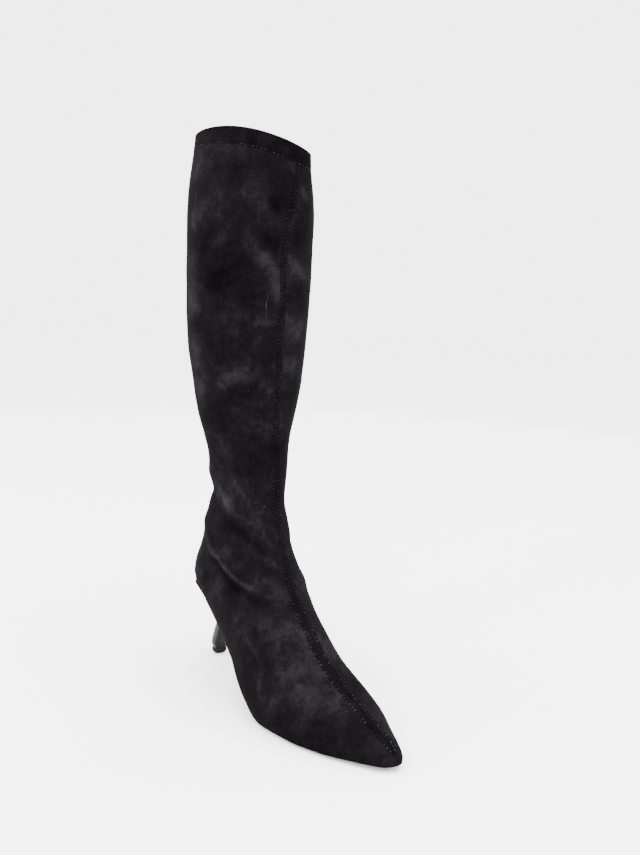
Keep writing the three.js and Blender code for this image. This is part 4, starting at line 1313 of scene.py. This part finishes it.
@dataclass
class Lint:
    """Lint and the thin scratch on the suede, as one piece.

    Attributes:
        skin: The upper's outside.
    """

    skin: Skin

    def build(self) -> Piece:
        """Makes the specks."""
        beads = Beads("lint")
        for speck in SPECKS:
            around = speck.turn * self.skin.half_length(speck.row)
            middle, out = self.skin.read(speck.row, around)
            along = self.skin.read(speck.row + 0.03, around)[0] - self.skin.read(speck.row - 0.03, around)[0]
            beads.add(middle, along, out, (speck.length * MM, speck.width * MM), speck.light)
        return beads.build()


class Beads:
    """Small long beads that lie on a surface, joined in one piece."""

    def __init__(self, name: str) -> None:
        """Models one bead, lying along X with unit length.

        Args:
            name: Name of the piece.
        """
        self.name = name
        bpy.ops.object.select_all(action="DESELECT")
        lying = (0, math.pi / 2, 0)
        bpy.ops.mesh.primitive_uv_sphere_add(segments=8, ring_count=6, radius=0.5, rotation=lying)
        ball = bpy.context.object
        bpy.ops.object.transform_apply(location=True, rotation=True, scale=True)
        self.model = np.array([v.co for v in ball.data.vertices])
        self.model[:, 0] = 0.5 * np.sign(self.model[:, 0]) * np.abs(2 * self.model[:, 0]) ** 0.6
        self.model_faces = np.array([[*face.vertices, -1][:4] for face in ball.data.polygons])
        bpy.data.objects.remove(ball)
        self.points: list[np.ndarray] = []
        self.lights: list[float] = []

    def add(self, middle: np.ndarray, along: np.ndarray, out: np.ndarray, size: tuple[float, float],
            light: float) -> None:
        """Lays one bead.

        Args:
            middle: Its middle.
            along: Its direction.
            out: The outward direction there.
            size: Its length and thickness.
            light: How light it is.
        """
        along = along / np.linalg.norm(along)
        out = out - along * (out @ along)
        out = out / np.linalg.norm(out)
        axes = np.stack([along * size[0], np.cross(out, along) * size[1], out * size[1]])
        arched = self.model.copy()
        arched[:, 2] -= 0.5 * np.abs(2 * self.model[:, 0]) ** 3
        self.points.append(arched @ axes + middle)
        self.lights.append(light)

    def build(self) -> Piece:
        """Joins the beads laid so far."""
        faces = []
        for i in range(len(self.points)):
            start = i * len(self.model)
            faces += [tuple(int(k) + start for k in face if k >= 0) for face in self.model_faces]
        piece = mesh_piece(self.name, np.vstack(self.points), faces)
        layer = piece.data.attributes.new("light", "FLOAT", "POINT")
        layer.data.foreach_set("value", np.repeat(self.lights, len(self.model)).astype(np.float32))
        return piece


class Board:
    """Nodes of one material, made by short calls."""

    def __init__(self, name: str) -> None:
        """Starts a material with a shader and its object coordinates.

        Args:
            name: The material's name.
        """
        self.material = bpy.data.materials.new(name)
        self.material.use_nodes = True
        self.tree = self.material.node_tree
        self.tree.nodes.clear()
        self.shader = self.tree.nodes.new("ShaderNodeBsdfPrincipled")
        output = self.tree.nodes.new("ShaderNodeOutputMaterial")
        self.tree.links.new(self.shader.outputs["BSDF"], output.inputs["Surface"])
        self.place = self.tree.nodes.new("ShaderNodeTexCoord").outputs["Object"]

    def set(self, **values: float | tuple) -> None:
        """Sets the shader's own sockets, with underscores for the spaces in their names."""
        for name, value in values.items():
            self.shader.inputs[name.replace("_", " ")].default_value = value

    def stretched(self, scale: tuple[float, float, float]) -> Socket:
        """Object coordinates stretched by a scale on each axis."""
        node = self.tree.nodes.new("ShaderNodeMapping")
        node.inputs["Scale"].default_value = scale
        self.tree.links.new(self.place, node.inputs["Vector"])
        return node.outputs["Vector"]

    def noise(self, scale: float, detail: float = 3, rough: float = 0.5, warp: float = 0.0,
              place: Socket | None = None) -> Socket:
        """A noise from 0 to 1, with a scale in repeats a metre."""
        node = self.tree.nodes.new("ShaderNodeTexNoise")
        node.inputs["Scale"].default_value = scale
        node.inputs["Detail"].default_value = detail
        node.inputs["Roughness"].default_value = rough
        node.inputs["Distortion"].default_value = warp
        self.tree.links.new(place or self.place, node.inputs["Vector"])
        return node.outputs["Fac"]

    def cells(self, scale: float) -> Socket:
        """Distance to the nearest of scattered points, with a scale in repeats a metre."""
        node = self.tree.nodes.new("ShaderNodeTexVoronoi")
        node.inputs["Scale"].default_value = scale
        self.tree.links.new(self.place, node.inputs["Vector"])
        return node.outputs["Distance"]

    def attribute(self, name: str) -> Socket:
        """A number kept at each point of the mesh."""
        node = self.tree.nodes.new("ShaderNodeAttribute")
        node.attribute_name = name
        return node.outputs["Fac"]

    def math(self, kind: str, a: Socket, b: Socket | float) -> Socket:
        """A sum, product or other result of two numbers."""
        node = self.tree.nodes.new("ShaderNodeMath")
        node.operation = kind
        self.tree.links.new(a, node.inputs[0])
        if isinstance(b, (int, float)):
            node.inputs[1].default_value = b
        else:
            self.tree.links.new(b, node.inputs[1])
        return node.outputs[0]

    def spread(self, value: Socket, low: float, high: float, to_low: float = 0.0,
               to_high: float = 1.0) -> Socket:
        """Maps a number from one range to another, held at its ends."""
        node = self.tree.nodes.new("ShaderNodeMapRange")
        for name, number in (("From Min", low), ("From Max", high), ("To Min", to_low), ("To Max", to_high)):
            node.inputs[name].default_value = number
        self.tree.links.new(value, node.inputs["Value"])
        return node.outputs["Result"]

    def colours(self, value: Socket, *stops: tuple[float, Colour]
                ) -> Socket:
        """Colours along a number from 0 to 1."""
        node = self.tree.nodes.new("ShaderNodeValToRGB")
        ramp = node.color_ramp
        while len(ramp.elements) < len(stops):
            ramp.elements.new(0.5)
        for element, (at, colour) in zip(ramp.elements, stops):
            element.position = at
            element.color = (*colour, 1.0)
        self.tree.links.new(value, node.inputs["Fac"])
        return node.outputs["Color"]

    def colour(self, socket: Socket) -> None:
        """Colours the shader."""
        self.tree.links.new(socket, self.shader.inputs["Base Color"])

    def roughness(self, socket: Socket) -> None:
        """Roughens the shader."""
        self.tree.links.new(socket, self.shader.inputs["Roughness"])

    def relief(self, *layers: tuple[Socket, float]) -> None:
        """Bumps the shader by layers of a height from 0 to 1 and its depth in millimetres."""
        normal = None
        for height, depth in layers:
            node = self.tree.nodes.new("ShaderNodeBump")
            node.inputs["Distance"].default_value = depth * MM
            self.tree.links.new(height, node.inputs["Height"])
            if normal is not None:
                self.tree.links.new(normal, node.inputs["Normal"])
            normal = node.outputs["Normal"]
        self.tree.links.new(normal, self.shader.inputs["Normal"])


@dataclass(frozen=True)
class SuedeFinish:
    """Black microfibre suede with a brushed nap; the mesh's nap layer also paints light and shade into it."""

    deep: Colour = (0.0008, 0.00065, 0.0009)
    plain: Colour = (0.0031, 0.0025, 0.0033)
    light: Colour = (0.0130, 0.0110, 0.0136)
    sheen: float = 0.006

    def build(self) -> bpy.types.Material:
        """Makes the material."""
        board = Board("suede")
        broad = board.noise(26, 4, 0.62, 0.4)
        brushed = board.noise(95, 4, 0.6, 0.8)
        fibres = board.noise(2600, 2, 0.6)
        specks = board.noise(900, 3, 0.7)
        grain = board.noise(420, 3, 0.6, 0.6)
        clouds = board.spread(broad, 0.3, 0.7, 0.0, 0.42)
        tone = board.math("ADD", clouds, board.spread(brushed, 0.3, 0.7, 0.0, 0.26))
        # The nap layer paints brushed nap and also painted sheen, top light, crest highlights and shade in
        # the hollows, seams and hem.
        tone = board.math("ADD", tone, board.math("MULTIPLY", board.attribute("nap"), 0.42))
        tone = board.math("ADD", tone, board.spread(fibres, 0.3, 0.7, -0.12, 0.12))
        tone = board.math("ADD", tone, board.spread(grain, 0.3, 0.7, -0.08, 0.08))
        board.colour(board.colours(tone, (0.0, self.deep), (0.42, self.plain), (1.0, self.light)))
        board.roughness(board.spread(brushed, 0.3, 0.7, 0.86, 1.0))
        board.relief((brushed, 0.16), (specks, 0.10), (fibres, 0.06))
        board.set(Specular_IOR_Level=0.006, Sheen_Weight=self.sheen, Sheen_Roughness=0.4,
                  Sheen_Tint=(0.82, 0.78, 0.86, 1.0))
        return board.material


@dataclass(frozen=True)
class LiningFinish:
    """Black knitted lining with fine upright wales."""

    dark: Colour = (0.004, 0.0036, 0.0044)
    light: Colour = (0.014, 0.0125, 0.015)

    def build(self) -> bpy.types.Material:
        """Makes the material."""
        board = Board("lining")
        wales = board.noise(1500, 1, 0.5, 0.0, board.stretched((1.0, 1.0, 0.12)))
        cloud = board.noise(60, 3)
        board.colour(board.colours(board.spread(wales, 0.3, 0.7), (0.0, self.dark), (1.0, self.light)))
        board.roughness(board.spread(cloud, 0.3, 0.7, 0.75, 0.92))
        board.relief((wales, 0.12), (cloud, 0.2))
        board.set(Specular_IOR_Level=0.03, Sheen_Weight=0.02, Sheen_Roughness=0.5)
        return board.material


@dataclass(frozen=True)
class ThreadFinish:
    """Dark lilac-grey thread with a slight shine."""

    dark: Colour = (0.0006, 0.0005, 0.0007)
    light: Colour = (0.075, 0.064, 0.082)

    def build(self) -> bpy.types.Material:
        """Makes the material."""
        board = Board("thread")
        ply = board.noise(3200, 1)
        # The light layer paints glints on the stitches; on the lint it is the fibres' own lighter colour.
        shown = board.math("MULTIPLY", board.attribute("light"), board.spread(ply, 0.3, 0.7, 0.7, 1.1))
        board.colour(board.colours(shown, (0.0, self.dark), (1.0, self.light)))
        board.roughness(board.spread(ply, 0.3, 0.7, 0.5, 0.7))
        board.relief((ply, 0.05))
        board.set(Specular_IOR_Level=0.02)
        return board.material


@dataclass(frozen=True)
class WornFinish:
    """A hard finish with patches of wear over a fine grain.

    Attributes:
        name: Its name.
        clean, worn: Its colours.
        patches: Scale, detail, roughness and warp of the noise that places the wear.
        shown: Where on that noise the wear begins and where it is full.
        roughness: The part of that noise that roughens it, and its roughness at the two ends.
        grain: Scale, detail and roughness of the grain's noise.
        depths: Depths of the patches and of the grain, in millimetres.
        specular: Strength of its reflection.
        coat: Strength of its clear coat.
        grain_up: The grain's scale up the piece, less than 1 for long hairlines.
    """

    name: str
    clean: Colour
    worn: Colour
    patches: tuple[float, float, float, float]
    shown: tuple[float, float]
    roughness: tuple[float, float, float, float]
    grain: tuple[float, float, float]
    depths: tuple[float, float]
    specular: float
    coat: float = 0.0
    grain_up: float = 1.0

    def build(self) -> bpy.types.Material:
        """Makes the material."""
        board = Board(self.name)
        patches = board.noise(*self.patches)
        grain = board.noise(*self.grain, 0.0, board.stretched((1.0, 1.0, self.grain_up)))
        wear = board.spread(patches, *self.shown)
        board.colour(board.colours(wear, (0.0, self.clean), (1.0, self.worn)))
        board.roughness(board.spread(patches, *self.roughness))
        board.relief((patches, self.depths[0]), (grain, self.depths[1]))
        board.set(Specular_IOR_Level=self.specular, Coat_Weight=self.coat, Coat_Roughness=0.05)
        return board.material


MATT_SOLE = WornFinish(
    "sole", (0.0015, 0.0015, 0.0017), (0.012, 0.0115, 0.0115), patches=(85, 5, 0.66, 0.5), shown=(0.48, 0.78),
    roughness=(0.35, 0.7, 0.5, 0.75), grain=(1400, 3, 0.6), depths=(0.06, 0.05), specular=0.06,
)
GLOSS_HEEL = WornFinish(
    "gloss", (0.0028, 0.0028, 0.0032), (0.0085, 0.0085, 0.009), patches=(130, 5, 0.7, 0.0), shown=(0.4, 0.8),
    roughness=(0.35, 0.75, 0.07, 0.19), grain=(700, 2, 0.5), depths=(0.03, 0.008), specular=0.06, coat=0.03,
    grain_up=0.06,
)
# The lift's lighter worn patches are partly scuffing and partly painted reflection, raised to read grey like
# the shine on the heel's tip.
RUBBER_LIFT = WornFinish(
    "lift", (0.006, 0.006, 0.0062), (0.026, 0.0255, 0.025), patches=(420, 5, 0.7, 0.6), shown=(0.5, 0.8),
    roughness=(0.3, 0.7, 0.55, 0.8), grain=(2200, 2, 0.5), depths=(0.06, 0.03), specular=0.03,
)


@dataclass(frozen=True)
class SockFinish:
    """Smooth black sock lining, matt and lightly creased."""

    dark: Colour = (0.005, 0.0045, 0.0048)
    worn: Colour = (0.014, 0.0125, 0.013)

    def build(self) -> bpy.types.Material:
        """Makes the material."""
        board = Board("sock")
        wear = board.noise(45, 4, 0.6)
        pores = board.cells(1300)
        board.colour(board.colours(board.spread(wear, 0.35, 0.75), (0.0, self.dark), (1.0, self.worn)))
        board.roughness(board.spread(wear, 0.3, 0.7, 0.6, 0.8))
        board.relief((pores, 0.04), (wear, 0.2))
        board.set(Specular_IOR_Level=0.1)
        return board.material


@dataclass(frozen=True)
class FloorFinish:
    """Plain pale paper."""

    pale: Colour = (0.86, 0.86, 0.86)
    shade: Colour = (0.855, 0.855, 0.855)

    def build(self) -> bpy.types.Material:
        """Makes the material."""
        board = Board("paper")
        cloud = board.noise(3, 2)
        board.colour(board.colours(cloud, (0.3, self.shade), (0.7, self.pale)))
        board.set(Roughness=0.9, Specular_IOR_Level=0.1)
        return board.material


@dataclass(frozen=True)
class SoftBox:
    """A rectangular studio light.

    Attributes:
        name: Its name.
        place: Its place, in metres.
        size: Its width and height.
        power: Its power in watts.
        colour: Its colour.
    """

    name: str
    place: tuple[float, float, float]
    size: tuple[float, float]
    power: float
    colour: Colour = (1.0, 1.0, 1.0)


@dataclass
class Studio:
    """Floor, lights and the camera at the photograph's angle.

    Attributes:
        last: The last, for the camera's place.
        azimuth: Turn of the camera from the toe's direction to the inner side, in degrees.
        distance: Distance of the camera from the pivot on the floor, in metres.
        height: Height of the camera above the floor.
        aim_across: How far right of the pivot the camera is aimed.
        aim_height: How high it is aimed.
        roll: Roll of the camera in degrees.
        focal: Focal length, as a share of the picture's height.
        pivot_ahead: The pivot's distance forward of the counter's back.
        room: Brightness of the white room; the ceiling light makes the floor as bright.
    """

    last: Last
    azimuth: float = -33.9
    distance: float = 0.6692
    height: float = 0.3014
    aim_across: float = 0.0298
    aim_height: float = 0.2185
    roll: float = 3.69
    focal: float = 0.995
    pivot_ahead: float = 0.1
    room: float = 4.5

    SENSOR = 36.0
    BOXES = (
        SoftBox("overhead", (-0.2, -0.5, 2.1), (1.8, 1.8), 62),
        SoftBox("front left", (-1.7, -1.3, 1.3), (1.1, 1.5), 40),
        SoftBox("front right", (1.2, -1.9, 1.1), (1.0, 1.4), 20),
        SoftBox("back left", (-1.5, 1.3, 1.2), (0.9, 1.4), 26, (1.0, 0.97, 0.94)),
        SoftBox("back right", (1.6, 1.2, 1.2), (0.9, 1.4), 20),
        SoftBox("strip left", (-1.6, -0.1, 0.8), (0.14, 1.3), 18),
    )

    def build_floor(self) -> Piece:
        """Makes the floor."""
        bpy.ops.object.select_all(action="DESELECT")
        bpy.ops.mesh.primitive_plane_add(size=70, location=(0, 0, 0))
        floor = bpy.context.object
        floor.name = "floor"
        floor.data.materials.append(FloorFinish().build())
        floor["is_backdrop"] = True
        return floor

    def build_lights(self) -> None:
        """Hangs the soft boxes round the boot and lights the white room."""
        target = Vector((0, 0, self.aim_height))
        for box in self.BOXES:
            light = bpy.data.lights.new(box.name, "AREA")
            light.shape = "RECTANGLE"
            light.size, light.size_y = box.size
            light.energy = box.power
            light.color = box.colour
            lamp = bpy.data.objects.new(box.name, light)
            lamp.location = box.place
            lamp.rotation_euler = (target - Vector(box.place)).to_track_quat("-Z", "Y").to_euler()
            bpy.context.scene.collection.objects.link(lamp)
        world = bpy.data.worlds.new("room")
        world.use_nodes = True
        sky = world.node_tree.nodes["Background"]
        sky.inputs["Color"].default_value = (1.0, 1.0, 1.0, 1.0)
        sky.inputs["Strength"].default_value = self.room
        bpy.context.scene.world = world
        sun = bpy.data.lights.new("ceiling", "SUN")
        sun.energy = math.pi * self.room * (1 / FloorFinish.pale[0] - 1)
        sun.angle = math.radians(70)
        bpy.context.scene.collection.objects.link(bpy.data.objects.new("ceiling", sun))

    def build_camera(self) -> None:
        """Places the camera as the photograph was taken."""
        turn = math.radians(self.azimuth)
        pivot = Vector(self.last.placed(np.array(0.0), np.array(self.pivot_ahead), np.array(0.0)))
        across = Vector((math.cos(turn), math.sin(turn), 0))
        back = Vector((math.sin(turn), -math.cos(turn), 0))
        eye = pivot + back * self.distance + Vector((0, 0, self.height))
        target = pivot + across * self.aim_across + Vector((0, 0, self.aim_height))
        ahead = (target - eye).normalized()
        right = ahead.cross(Vector((0, 0, 1))).normalized()
        up = right.cross(ahead)
        tilt = math.radians(self.roll)
        right, up = right * math.cos(tilt) + up * math.sin(tilt), up * math.cos(tilt) - right * math.sin(tilt)
        camera = bpy.data.cameras.new("camera")
        camera.sensor_fit = "VERTICAL"
        camera.sensor_height = self.SENSOR
        camera.lens = self.focal * self.SENSOR
        camera.clip_end = 40
        seen_from = bpy.data.objects.new("camera", camera)
        seen_from.matrix_world = Matrix((
            (right.x, up.x, -ahead.x, eye.x),
            (right.y, up.y, -ahead.y, eye.y),
            (right.z, up.z, -ahead.z, eye.z),
            (0, 0, 0, 1),
        ))
        bpy.context.scene.collection.objects.link(seen_from)
        bpy.context.scene.camera = seen_from


def dress(piece: Piece, slot: str, *finishes: bpy.types.Material) -> None:
    """Gives a piece its materials and its body, and reports it.

    Args:
        piece: The piece.
        slot: A material slot's name; not used.
        *finishes: Its materials, in the order of its own slots.
    """
    piece.data.materials.clear()
    for finish in finishes:
        piece.data.materials.append(finish)
    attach(piece, "root")
    LOG.info("%s: %d faces", piece.name, len(piece.data.polygons))


def main() -> None:
    """Builds the studio and every piece of the boot."""
    logging.basicConfig(level=logging.INFO, format="%(name)s %(message)s")
    last = Last(LastSizes())
    studio = Studio(last)
    studio.build_camera()
    studio.build_floor()
    studio.build_lights()

    suede = SuedeFinish().build()
    upper = Upper(last)
    skin_piece, skin = upper.build()
    dress(skin_piece, "suede", suede, LiningFinish().build())
    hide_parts("upper")

    thread = ThreadFinish().build()
    dress(Stitching(upper, skin).build(), "suede", thread)
    dress(Lint(skin).build(), "suede", thread)

    sole = Sole(last)
    plate = sole.build_outsole()
    dress(plate, "sole", MATT_SOLE.build())
    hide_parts("outsole")
    sock = sole.build_sock()
    dress(sock, "sock", SockFinish().build())
    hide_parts("insole")

    heel = Heel(last)
    block = heel.build_heel()
    dress(block, "heel", GLOSS_HEEL.build())
    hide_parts("heel")
    lift = heel.build_lift()
    dress(lift, "lift", RUBBER_LIFT.build())
    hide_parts("top_lift")

    boxes = {"cad": FRAME_BOX, "visual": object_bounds()}
    {name: [list(corner) for corner in box] for name, box in boxes.items()}


if __name__ == "__main__":
    main()
